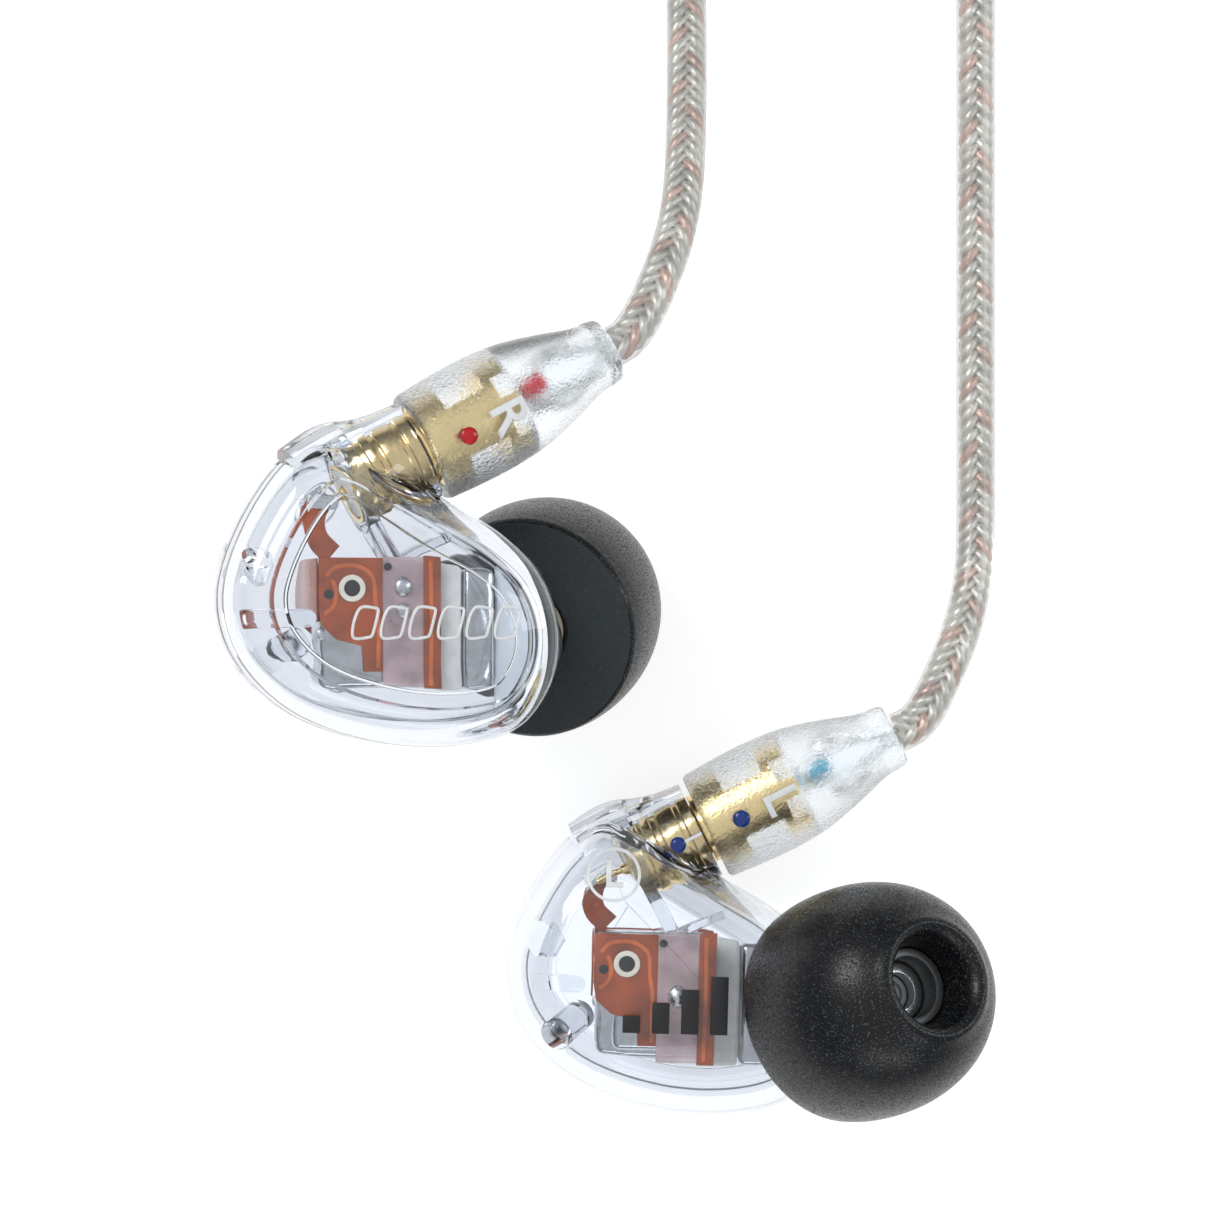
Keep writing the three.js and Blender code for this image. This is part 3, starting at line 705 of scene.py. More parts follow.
# Each side's coil: its centre, its outer radius, where it starts and which way it winds.
LEAD_COILS = {"right": ((-8.7, 56), 12.85, 0, 1), "left": ((31.76, 56), 12.32, 180, -1)}
STEP_ZONE = (290, 352)
TURN_SAMPLES = 40
PLAIT_WIDTH = 0.44
PLAIT_DEPTH = 0.27


def smooth(share):
    share = min(1.0, max(0.0, share))
    return share * share * (3 - 2 * share)


def wound(centre, outer, pitch, base, places, turns, start, direction):
    """The line of a coil: each turn keeps its place, and steps to the next near its end."""
    line = []
    low, high = STEP_ZONE
    middle = (low + high) / 2
    for sample in range(round(turns * TURN_SAMPLES) + 1):
        turn, rest = divmod(sample, TURN_SAMPLES)
        degrees = 360 * rest / TURN_SAMPLES
        column, layer = places[turn] if turn < len(places) else places[-1]
        next_column, next_layer = places[min(turn + 1, len(places) - 1)]
        climbs, slides = next_layer != layer, next_column != column
        climbed, sliding = middle if slides else high, middle if climbs else low
        rise = smooth((degrees - low) / (climbed - low)) if climbs else 0
        shift = smooth((degrees - sliding) / (high - sliding)) if slides else 0
        radius = outer - pitch * (column + (next_column - column) * shift)
        height = base + pitch * (layer + (next_layer - layer) * rise)
        angle = math.radians(start + direction * (360 * turn + degrees))
        line.append((centre[0] + radius * math.cos(angle), centre[1] + radius * math.sin(angle), height))
    return line


def lead_line(side):
    centre, outer, start, direction = LEAD_COILS[side]
    coil = wound(centre, outer, 2.15, 1.55, LEAD_TURNS, 5, start, direction)
    return catmull(LEAD_ROUTES[side], 0.5) + catmull(coil, 0.8) + catmull(TAIL_ROUTES[side], 0.6)


def main_line():
    coil = wound((-5.55, 123.5), 17.55, 2.55, 1.75, MAIN_TURNS, 11.5, 0, 1)
    return catmull(MAIN_ROUTE, 0.8) + catmull(coil, 1.0) + catmull(MAIN_TAIL_ROUTE, 0.8)


def spline_object(name, lines, radius, resolution, entry):
    data = bpy.data.curves.new(name, "CURVE")
    data.dimensions = "3D"
    data.bevel_depth = radius
    data.bevel_resolution = resolution
    data.use_fill_caps = True
    for line in lines:
        spline = data.splines.new("POLY")
        spline.points.add(len(line) - 1)
        for point, place in zip(spline.points, line):
            point.co = (*(Vector(place) * MM), 1)
        spline.use_smooth = True
    data.materials.append(entry)
    piece = linked(name, data)
    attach(piece, "cable")
    return piece


def travelled(line):
    reach = [0.0]
    for a, b in zip(line, line[1:]):
        reach.append(reach[-1] + (b - a).length)
    return reach


def plaited(line, pitch, width, depth, strands, samples):
    """Plaited bundles round the line: each crosses from side to side over and under the others."""
    line = [Vector(p) for p in line]
    reach = travelled(line)
    paths = [[] for _ in range(strands)]
    side = Vector((1, 0, 0))
    count = int(reach[-1] / pitch * samples)
    k = 0
    for i in range(count + 1):
        want = min(reach[-1] * i / count, reach[-1] - 1e-6)
        while reach[k + 1] < want:
            k += 1
        share = (want - reach[k]) / max(reach[k + 1] - reach[k], 1e-9)
        point = line[k].lerp(line[k + 1], share)
        ahead = (line[k + 1] - line[k]).normalized()
        side = (side - ahead * side.dot(ahead)).normalized()
        up = ahead.cross(side)
        for strand in range(strands):
            phase = 2 * math.pi * (want / pitch + strand / strands)
            across, over = width * math.sin(phase), depth * math.sin(2 * phase)
            paths[strand].append(point + side * across + up * over)
    return paths


class MONITORS_OT_cables(bpy.types.Operator):
    """Makes the two leads and the main cable: clear jackets over plaited wires, wound for storage"""

    bl_idname = "monitors.cables"
    bl_label = "Cables"

    def execute(self, context):
        size = settings().cable
        plug = [frame["nodes"][f"audio_plug_{part}"] for part in ("grip", "sleeve", "ring", "tip", "core")]
        for name, line, radius, samples, held in (
            ("right_lead", lead_line("right"), size.lead_radius, 14, []),
            ("left_lead", lead_line("left"), size.lead_radius, 14, []),
            ("main_lead", main_line(), size.main_radius, 9, plug),
        ):
            jacket = spline_object(f"{name}_jacket", [line], radius, 4, cable_jacket())
            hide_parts(name, f"{name}_coil", f"{name}_tail")
            scale = radius / size.lead_radius
            pitch = size.plait_pitch / MM * scale
            paths = plaited(line, pitch, PLAIT_WIDTH * scale, PLAIT_DEPTH * scale, 5, samples)
            strand = size.strand_radius * scale
            silver = spline_object(f"{name}_wires", paths[1:], strand, 1, silver_wire())
            copper = spline_object(f"{name}_copper", paths[:1], strand, 1, copper_wire())
        return {"FINISHED"}


# ---- Stage --------------------------------------------------------------------------------------

LENS = 180.0
SENSOR = 36.0
VIEW_WIDTH = 0.06226
VIEW_HEIGHT = 0.01
VIEW_CENTRE = (0.0, 0.006)
LIT_SCALE = 6.0


def area_light(name, location, target, width, height, power, tint=(1, 1, 1)):
    data = bpy.data.lights.new(name, "AREA")
    data.shape = "RECTANGLE"
    data.size = width
    data.size_y = height
    data.energy = power
    data.color = tint
    lamp = linked(name, data)
    lamp.location = location
    lamp.rotation_euler = (Vector(target) - Vector(location)).to_track_quat("-Z", "Y").to_euler()


class MONITORS_OT_stage(bpy.types.Operator):
    """Makes the camera, the pale table, the lamps and the sky"""

    bl_idname = "monitors.stage"
    bl_label = "Stage"

    def execute(self, context):
        scene = context.scene
        data = bpy.data.cameras.new("camera")
        data.lens = LENS
        data.sensor_width = SENSOR
        data.clip_start = 0.005
        data.clip_end = 20
        camera = linked("camera", data)
        camera.location = (*VIEW_CENTRE, VIEW_HEIGHT + VIEW_WIDTH * LENS / SENSOR)
        scene.camera = camera
        scene.view_settings.view_transform = "Standard"

        bm = bmesh.new()
        bmesh.ops.create_grid(bm, x_segments=1, y_segments=1, size=3)
        floor_mesh = bpy.data.meshes.new("floor")
        bm.to_mesh(floor_mesh)
        bm.free()
        floor = linked("floor", floor_mesh)
        made, _ = material("table")
        n = Nodes(made)
        n.shine(Base_Color=(0.5, 0.5, 0.5, 1), Roughness=0.9, Specular_IOR_Level=0.1)
        n.shine(Emission_Color=(1, 1, 1, 1))
        far = n.add("ShaderNodeVectorMath", operation="LENGTH")
        n.link(n.place(LIT_SCALE), far.inputs[0])
        n.ramp(far.outputs["Value"], "Emission Strength", (0.3, 0.72), (1.0, 0.08))
        floor_mesh.materials.append(made)

        world = bpy.data.worlds.new("sky")
        scene.world = world
        world.use_nodes = True
        tree = world.node_tree
        where = tree.nodes.new("ShaderNodeTexCoord")
        split = tree.nodes.new("ShaderNodeSeparateXYZ")
        ramp = tree.nodes.new("ShaderNodeValToRGB")
        tree.links.new(where.outputs["Generated"], split.inputs["Vector"])
        tree.links.new(split.outputs["Z"], ramp.inputs["Fac"])
        stops = ((0.0, (0.14, 0.16, 0.185)), (0.45, (0.42, 0.45, 0.49)), (0.85, (0.98, 0.99, 1)))
        ramp.color_ramp.elements.new(0.5)
        for element, (position, value) in zip(ramp.color_ramp.elements, stops):
            element.position = position
            element.color = (*value, 1)
        background = tree.nodes["Background"]
        tree.links.new(ramp.outputs["Color"], background.inputs["Color"])
        background.inputs["Strength"].default_value = 0.75

        middle = (0, 0, 0.01)
        area_light("key", (-0.28, 0.24, 0.4), middle, 0.22, 0.22, 1.1)
        area_light("fill", (0.42, 0.1, 0.2), middle, 0.12, 0.3, 0.45, (0.95, 0.98, 1))
        area_light("rim", (0.05, -0.4, 0.22), middle, 0.4, 0.12, 0.35)
        return {"FINISHED"}


# ---- Housing ------------------------------------------------------------------------------------

HOUSING_POINTS = [
    (-5.45, 0.3), (-7.25, -0.8), (-9.45, -4.1), (-10.4, -7.4), (-9.75, -10.2), (-7.2, -12.95), (-3, -14.6),
    (1.5, -14.9), (4.75, -13.95), (6.45, -11.6), (6.75, -8.9), (5.75, -6.2), (3.9, -4.35), (1.2, -2.75),
    (-1.5, -1.15), (-3.7, 0.05),
]
HOUSING_MIDDLE = Vector((-2, -8, 0))
SQUARE_INSET = 2.3
STATIONS = 128
OUTLINE = evened(catmull([(x, y, 0) for x, y in HOUSING_POINTS], 0.1, closed=True), STATIONS)


def outline_spot(station, inset, height):
    """A point of the housing's outline moved inwards: square to the edge at first, then to the middle."""
    ahead = (OUTLINE[(station + 1) % STATIONS] - OUTLINE[station - 1]).normalized()
    inwards = Vector((-ahead.y, ahead.x, 0))
    spot = OUTLINE[station] + inwards * min(inset, SQUARE_INSET)
    spot += (HOUSING_MIDDLE - spot).normalized() * max(inset - SQUARE_INSET, 0)
    return spot + Vector((0, 0, height))


def lofted(rings):
    """A closed body whose outline moves through (inset, height) rings, capped at both ends."""
    bm = bmesh.new()
    station = bm.verts.layers.int.new("station")
    ring = []
    for i in range(STATIONS):
        vert = bm.verts.new(outline_spot(i, *rings[0]))
        vert[station] = i
        ring.append(vert)
    bm.faces.new(ring)
    edges = [bm.edges.get((ring[i], ring[(i + 1) % STATIONS])) for i in range(STATIONS)]
    for inset, height in rings[1:]:
        grown = bmesh.ops.extrude_edge_only(bm, edges=edges)
        edges, ring = only(bmesh.types.BMEdge, grown), only(bmesh.types.BMVert, grown)
        for vert in ring:
            vert.co = outline_spot(vert[station], inset, height)
        edges = [e for e in edges if e.verts[0] in set(ring) and e.verts[1] in set(ring)]
    bmesh.ops.contextual_create(bm, geom=edges)
    bmesh.ops.recalc_face_normals(bm, faces=bm.faces[:])
    return bm


def quarter(inset, size, base, depth, steps=9):
    """Rings of a rounded rim, from its top to where it meets the straight side."""
    rings = []
    for i in range(steps + 1):
        angle = math.radians(8 + 82 * i / steps)
        rings.append((inset + size * (1 - math.sin(angle)), base + depth * math.cos(angle)))
    return rings


def neck(upper):
    """The collar that holds the jack, flared where it runs into the housing."""
    flare = catmull(
        [(-0.3, 2.62, 0), (-1.7, 2.75, 0), (-2.7, 3, 0), (-3.6, 3.35, 0), (-4.6, 3.5, 0), (-6.4, 3.3, 0)],
        0.25
    )
    profile = [(-0.3, 0), (-0.3, 2.5), *[(p.x, p.y) for p in flare], (-6.4, 0)]
    return turned(profile, CONNECTOR @ Matrix.Rotation(math.radians(upper), 4, "X"), 96)


def neck_pocket():
    profile = [(1, 0), (1, 2.0), (-3.55, 2.0), (-3.6, 2.5), (-6.5, 2.5), (-6.5, 0)]
    return turned(profile, CONNECTOR, 64)


def half_box(sign, seam):
    return block((40, 40, 40), (0, -8, sign * (20 + seam)), 0)


def capsule(centre, reach, radius, low, high, steps=10):
    """An upright rib whose outline has round ends."""
    outline = []
    for end, start in ((1, -90), (-1, 90)):
        for i in range(steps + 1):
            angle = math.radians(start + 180 * i / steps)
            outline.append(
                (centre[0] + end * reach + radius * math.cos(angle), centre[1] + radius * math.sin(angle))
            )
    return plate(outline, low, high, 0.1)


SURFACES = {}


class MONITORS_OT_housings(bpy.types.Operator):
    """Makes the clear outer and inner shells of both earpieces"""

    bl_idname = "monitors.housings"
    bl_label = "Housings"

    def outer_shell(self, size):
        wall, plate_top, inset = size.wall / MM, size.plate_depth / MM, size.plate_inset / MM
        rim = quarter(0, inset - 0.15, 1.2, 2.4)
        skin = lofted(
            [
                (inset + 0.35, plate_top), (inset + 0.12, plate_top - 0.03), (inset, plate_top - 0.15),
                (inset - 0.03, 3.7)
            ]
            + rim
            + [(0, 0.15), (0.06, 0.0), (0.06, -0.5)]
        )
        cavity = lofted(
            [(inset + wall + 0.45, plate_top - wall), (inset + wall + 0.15, plate_top - wall - 0.06)]
            + [(inset + wall, plate_top - wall - 0.25), (inset + wall - 0.02, 2.95)]
            + quarter(wall, inset + wall - 0.15 - wall, 1.0, 1.9)
            + [(wall, -0.6)]
        )
        rib = capsule((-7.9, -8.5), 1.4, 0.45, 1.9, 3.15)
        pin = capsule((-8.6, -5.6), 0.0, 0.5, 0.2, 2.6)
        return carved(
            skin, ("UNION", neck(0)), ("DIFFERENCE", cavity), ("UNION", rib), ("UNION", pin),
            ("DIFFERENCE", neck_pocket()), ("INTERSECT", half_box(1, size.seam / MM)),
        )

    def inner_shell(self, size):
        wall, depth = size.wall / MM, size.inner_depth / MM
        skin = lofted(
            [(4.6, -depth), (3.4, -depth + 0.02)]
            + [(inset, -height) for inset, height in quarter(0, 3.0, 1.2, depth - 1.28, 12)]
            + [(0, -0.15), (0.06, 0.0), (0.06, 0.5)]
        )
        cavity = lofted(
            [(4.4, -depth + wall), (3.4, -depth + wall + 0.02)]
            + [(inset, -height) for inset, height in quarter(wall, 2.2, 1.0, depth - wall - 1.08, 12)]
            + [(wall, 0.6)]
        )
        boss = turned(
            filleted([(-4.2, 0), (-4.2, 2.65), (-1.9, 2.65), (-0.7, 1.95), (-0.7, 0)], 0.35), NOZZLE, 72
        )
        pocket = turned([(1, 0), (1, 1.55), (-2.05, 1.55), (-2.05, 1.9), (-5.6, 1.9), (-5.6, 0)], NOZZLE, 64)
        hexagon = turned([(-0.8, 0), (-0.8, 1.0), (1.6, 0.85), (1.6, 0)], upright(-8.1, -5.9, -3.1), 6)
        post = turned(
            rod(-1.2, 1.6, 0.8, 0.15),
            along(Vector((-6.9, -10.3, -2.6)), Vector((0.4, 0.3, 0.85)).normalized()), 40
        )
        return carved(
            skin, ("UNION", neck(7)), ("UNION", boss), ("DIFFERENCE", cavity), ("UNION", hexagon),
            ("UNION", post),
            ("DIFFERENCE", neck_pocket()), ("DIFFERENCE", pocket), (
                "INTERSECT", half_box(-1, size.seam / MM)
            ),
        )

    def execute(self, context):
        size = settings().housing
        outer, inner = self.outer_shell(size), self.inner_shell(size)
        SURFACES["ear_side"] = BVHTree.FromBMesh(inner)
        for side in SIDES:
            for name, shape in (("outer_shell", outer), ("inner_shell", inner)):
                side_piece(f"{name}_clear", shape.copy(), side, "earpiece", clear_shell(), [name])
        return {"FINISHED"}


# ---- Connector ----------------------------------------------------------------------------------


def raised(x, y, height):
    """A place on the connector, (along, across), lifted off its axis."""
    return CONNECTOR @ Matrix.Translation((x, y, height))


class MONITORS_OT_connectors(bpy.types.Operator):
    """Makes the gold jacks and plugs, the frosted boots and their letters and dots"""

    bl_idname = "monitors.connectors"
    bl_label = "Connectors"

    def jack(self, side, size):
        radius = size.jack_radius / MM
        groove = radius - 0.16
        barrel = turned(
            filleted(
                [(-2, 1.6), (-4.4, 1.6), (-4.4, radius - 0.1), (-3.3, radius - 0.1), (-3.25, radius),
                 (-2.75, radius),
                 (-2.7, groove), (-2.35, groove), (-2.3, radius - 0.05), (-1.25, radius - 0.05),
                  (-1.2, groove + 0.05),
                 (-0.95, groove + 0.05), (-0.9, radius), (-0.35, radius), (-0.35, 1.6), (-2, 1.6)], 0.05),
            CONNECTOR,
        )
        side_piece("jack_gold", barrel, side, "earpiece", gold(), ["jack_barrel"])
        insulator = turned(sleeve(-4.35, -3.6, 1.55, 0.4), CONNECTOR, 48)
        side_piece("jack_bead", insulator, side, "earpiece", moulded("white_bead"), ["jack_insulator"])
        contact = turned(
            filleted([(-6.4, 0), (-6.4, 0.22), (-4.9, 0.22), (-4.8, 0.35), (-3.4, 0.35), (-3.4, 0)], 0.05),
            CONNECTOR, 32
        )
        side_piece("jack_pin", contact, side, "earpiece", gold(), ["jack_contact"])
        ring = turned(sleeve(-4.4, -3.6, 2.44, 2.04, 0.08), CONNECTOR, 72)
        foot = block((0.75, 2.6, 2.2), (-4.0, -3.3, 0.2), 0.15, 3, CONNECTOR)
        toe = block((3.4, 0.5, 2.0), (-2.6, -4.35, 0.2), 0.15, 3, CONNECTOR)
        side_piece(
            "jack_clip", carved(ring, ("UNION", foot), ("UNION", toe)), side, "earpiece", clear_shell(),
            ["jack_cradle"]
        )
        pad = block((1.5, 0.95, 0.22), (-6.3, 0.35, 0.38), 0.07, 3, CONNECTOR)
        bead = ball((-6.3, 0.25, 0.5), 0.42, (1.3, 0.8, 0.5), CONNECTOR)
        side_piece("jack_solder", merged(pad, bead), side, "earpiece", solder())

    def plug(self, side, size):
        radius = size.barrel_radius / MM
        nose = 1.38
        body = turned(
            filleted(
                [(-1, 0.8), (-2.8, 0.8), (-2.8, nose), (-2.3, nose), (-2.3, nose - 0.18),
                 (-1.7, nose - 0.18), (-1.7, nose),
                 (-0.25, nose), (-0.25, 1.9), (0.15, 1.9), (0.2, radius), (5.1, radius), (5.1, 1.1),
                  (0.3, 1.1),
                 (0.3, 0.8), (-1, 0.8)], 0.05),
            CONNECTOR, 96,
        )
        windows = []
        for across in (-1, 1):
            windows.append(("DIFFERENCE", block((2.2, 1.6, 6), (2.75, across * 2.05, 0), 0, 3, CONNECTOR)))
            windows.append(("DIFFERENCE", block((1.0, 1.0, 6), (4.8, across * 1.0, 0), 0, 3, CONNECTOR)))
        side_piece("plug_gold", carved(body, *windows), side, "cable", gold(), ["plug_barrel"])
        bead = turned(sleeve(0.35, 4.4, 0.95, 0.36), CONNECTOR, 48)
        side_piece("plug_bead", bead, side, "cable", moulded("white_bead"), ["plug_insulator"])
        side_piece(
            "plug_pin_gold", turned(rod(-2.7, 5.6, 0.3), CONNECTOR, 32), side, "cable", gold(), ["plug_pin"]
        )
        ring = turned(sleeve(-2.25, -1.75, 1.53, 1.26, 0.1), CONNECTOR, 64)
        side_piece("snap_ring_gold", ring, side, "snap_ring", gold(), ["snap_ring"])
        tint = settings().colours.left_sleeve if side == "left" else settings().colours.right_mark
        mark = moulded(f"{side}_sleeve_mark", tint, 0.2, 0.4)
        side_piece(
            "wire_sleeve", turned(rod(5.7, 6.9, 0.42, 0.15), raised(0, 0.1, 0.25), 32), side, "cable", mark
        )
        wires = []
        for swing in (-1, 1):
            route = [
                (5.6, 0.15 * swing, 0), (6.6, 0.75 * swing, 0.2), (7.6, 1.0 * swing, 0.25),
                (8.8, 0.7 * swing, 0.1), (10.2, 0.3 * swing, 0), (10.95, 0.25 * swing, 0)
            ]
            wires.append(swept(catmull(route, 0.2), 0.2, 10, CONNECTOR))
        side_piece("boot_wires", merged(*wires), side, "cable", silver_wire())

    def boot(self, side, size):
        end, widest = size.boot_length / MM, size.boot_radius / MM
        side_line = catmull(
            [(0.25, widest - 0.12, 0), (2, widest - 0.02, 0), (4, widest, 0), (6, widest - 0.2, 0),
             (8, widest - 0.72, 0),
             (9.6, widest - 1.22, 0), (10.2, widest - 1.32, 0)], 0.3)
        profile = [(2, 2.4), (0.0, 2.4), (0.0, widest - 0.3), (0.08, widest - 0.2)]
        profile += [(p.x, p.y) for p in side_line]
        profile += [
            (10.3, widest - 1.28), (end - 0.15, 1.68), (end, 1.55), (end, 0.85), (5.6, 0.85), (5.3, 2.4),
            (2, 2.4)
        ]
        shape = turned(profile, Matrix(), 96)
        barrel = BVHTree.FromBMesh(shape)
        shape.transform(CONNECTOR)
        side_piece("boot_frosted", shape, side, "cable", frosted_clear(), ["boot"], 50)
        sign = letter(SIDE_LETTER[side], 2.6, 0.22)
        facing = MIRROR[side]
        sign.transform(Matrix.Translation((4.1, -0.35, 0)) @ Matrix.Rotation(math.radians(-90), 4, "Z"))
        if facing < 0:
            bmesh.ops.reverse_faces(sign, faces=sign.faces[:])
        settled(sign, barrel, facing)
        sign.transform(CONNECTOR)
        side_piece("boot_letter", sign, side, "cable", moulded("pale_inlay"))

    def mark(self, side):
        tint = settings().colours.right_mark if side == "right" else settings().colours.left_mark
        return moulded(f"{side}_mark", tint, 0.1, 0.2)

    def execute(self, context):
        size = settings().connector
        for side in SIDES:
            self.jack(side, size)
            self.plug(side, size)
            self.boot(side, size)
            height = MIRROR[side] * (size.boot_radius / MM - 0.05)
            dot = ball((1.85, -0.33, height), 0.45, (1, 1, 0.35), CONNECTOR)
            side_piece("boot_dot", dot, side, "cable", self.mark(side))
            neck_dot = ball((-1.7, -0.1, -2.68), 0.42, (1, 1, 0.4), CONNECTOR)
            side_piece("neck_dot", neck_dot, side, "earpiece", self.mark(side))
            channel = swept(
                [(-1.3, -0.1, -2.72), (-0.8, -0.1, -2.7), (-0.35, -0.1, -2.6)], 0.1, 10, CONNECTOR
            )
            side_piece("neck_channel", channel, side, "earpiece", moulded("pale_inlay"))
        return {"FINISHED"}


# ---- Drivers and circuit ------------------------------------------------------------------------


FILM_LEVELS = (1.5, -4.2)
FILM_THICKNESS = 0.1


class MONITORS_OT_drivers(bpy.types.Operator):
    """Makes the driver cans, the flexible circuit over them, and the sound duct"""

    bl_idname = "monitors.drivers"
    bl_label = "Drivers"

    def cans(self, side):
        woofer = block((5.9, 6.6, 2.6), (-2.6, -8.8, 0.1), 0.45, 4)
        side_piece("woofer_a_can", woofer, side, "earpiece", nickel(), ["woofer_a"])
        second = block((5.0, 5.9, 2.6), (-2.15, -8.5, -2.65), 0.45, 4)
        side_piece("woofer_b_can", second, side, "earpiece", nickel(), ["woofer_b"])
        spacer = block((1.3, 6.6, 3.1), (1.25, -9.0, -0.5), 0.25, 3)
        side_piece("tweeter_spacer", spacer, side, "earpiece", moulded("white_spacer"))
        tweeter = block((1.6, 6.4, 3.4), (2.75, -9.05, -0.5), 0.35, 4)
        side_piece("tweeter_can", tweeter, side, "earpiece", nickel(), ["tweeter"])

    def circuit(self, side):
        colours = settings().colours
        parts = []
        panel = [
            (-5.65, -5.45), (-2.35, -5.45), (-2.35, -11.2), (-3.3, -11.2), (-3.4, -9.9), (-4.7, -9.6),
            (-5.5, -8.9), (-5.65, -8.0),
        ]
        strip = [(-0.25, -5.35), (0.65, -5.35), (0.65, -12.1), (-0.25, -12.1)]
        for level in FILM_LEVELS:
            parts += [plate(outline, level, level + FILM_THICKNESS, 0.03) for outline in (panel, strip)]
        parts.append(block((0.1, 3.2, 5.6), (-5.72, -7.1, -1.3), 0.03, 2))
        tail = catmull(
            [
                (-4.9, -5.3, 1.5), (-5.65, -4.6, 1.5), (-5.85, -3.9, 1.25), (-5.75, -3.2, 0.9),
                (-5.5, -2.75, 0.62)
            ],
            0.15
        )
        parts.append(self.ribbon(tail, 1.15, 0.1))
        side_piece(
            "circuit_film", merged(*parts), side, "earpiece", film("amber_film", colours.film),
            ["flex_circuit"]
        )
        pane = [(-2.35, -5.4), (-0.25, -5.4), (-0.25, -12.0), (-2.35, -12.0)]
        window = [plate(pane, level, level + 0.06) for level in FILM_LEVELS]
        side_piece(
            "circuit_window", merged(*window), side, "earpiece", film("mauve_film", (0.72, 0.52, 0.52), 0.55)
        )
        traces = []
        for top in (1.62, -4.24):
            for route in (
                [
                    (-5.3, -6.4), (-4.8, -5.95), (-3.6, -5.9), (-2.9, -6.4), (-2.75, -7.6), (-2.6, -8.6),
                    (-2.6, -11.0)
                ],
                [(-5.35, -8.3), (-4.9, -7.9), (-4.75, -7.2), (-4.95, -6.6)],
                [(0.1, -5.6), (0.15, -8.6), (0.1, -11.9)],
            ):
                line = catmull([(x, y, top) for x, y in route], 0.15)
                traces.append(self.ribbon(line, 0.2, 0.05))
        side_piece("circuit_traces", merged(*traces), side, "earpiece", film("bright_trace", colours.trace))
        eyes = []
        for low, high in ((1.58, 1.72), (-4.3, -4.2)):
            eyes.append(turned(sleeve(low, high, 0.68, 0.42, 0.03), upright(-3.95, -7.0), 40))
        side_piece("circuit_eyes", merged(*eyes), side, "earpiece", moulded("cream_ring"))
        # Near-black discs filling the film's holes: painted shade standing in for the dark inside of each
        # hole.
        hole_shades = []
        for x, y, radius in ((-3.95, -7.0, 0.4), (-5.15, -7.3, 0.24), (-2.1, -5.9, 0.2)):
            for low, high in ((1.57, 1.66), (-4.26, -4.18)):
                hole_shades.append(turned(rod(low, high, radius, 0.02), upright(x, y), 32))
        side_piece("circuit_hole_shades", merged(*hole_shades), side, "earpiece", moulded("painted_hole_shade"))
        blobs = []
        for x, y, z, radius in (
            (-1.3, -6.9, 1.6, 0.45), (-1.3, -8.1, 1.6, 0.35), (-4.6, -11.6, 0.9, 0.6), (-5.4, -9.3, 1.2, 0.3),
            (-1.3, -8.6, -4.2, 0.5)
        ):
            blobs.append(ball((x, y, z), radius, (1, 1.15, 0.55)))
        blobs.append(block((1.5, 0.75, 0.3), (-5.3, -2.65, 0.8), 0.1, 3))
        side_piece("solder_joints", merged(*blobs), side, "earpiece", solder())

    def ribbon(self, line, width, thickness):
        """A flat strip along the line, its width level."""
        bm = bmesh.new()
        ends = []
        for i, point in enumerate(line):
            ahead = (line[min(i + 1, len(line) - 1)] - line[max(i - 1, 0)]).normalized()
            across = Vector((-ahead.y, ahead.x, 0)).normalized() * (width / 2)
            ends.append((bm.verts.new(point - across), bm.verts.new(point + across)))
        faces = [bm.faces.new((a, b, d, c)) for (a, b), (c, d) in zip(ends, ends[1:])]
        bmesh.ops.recalc_face_normals(bm, faces=faces)
        bmesh.ops.solidify(bm, geom=faces, thickness=thickness)
        bmesh.ops.recalc_face_normals(bm, faces=bm.faces[:])
        return bm

    def duct(self, side):
        end = NOZZLE_SEAT - NOZZLE_AXIS * 2.7
        line = catmull(
            [(3.65, -9.4, -0.9), (4.1, -9.45, -1.1), tuple(end - NOZZLE_AXIS * 0.9), tuple(end)], 0.12
        )
        side_piece("acoustic_tube", swept(line, 0.8, 24), side, "earpiece", milky(), ["acoustic_duct"])

    def baffle(self, side):
        """The pale carrier that closes the space between the driver and the nozzle's wall."""
        rim = [outline_spot(station, 1.15, 0) for station in range(STATIONS)]
        edge = [(spot.x, spot.y) for spot in rim if spot.x > 3.62 and spot.y < -5.6]
        side_piece("carrier", plate(edge, 0.3, 0.65, 0.1), side, "earpiece", haze())

    def execute(self, context):
        for side in SIDES:
            self.cans(side)
            self.circuit(side)
            self.duct(side)
            self.baffle(side)
        return {"FINISHED"}


# ---- Nozzle and sleeve --------------------------------------------------------------------------

# Distances along the nozzle, from its seat.
# Past this distance the sleeve tube takes the near-black second material, painted shade deep in the foam's
# mouth.
CORE_SHADE_START = 2.0
REAR_FACE_END = 0.04


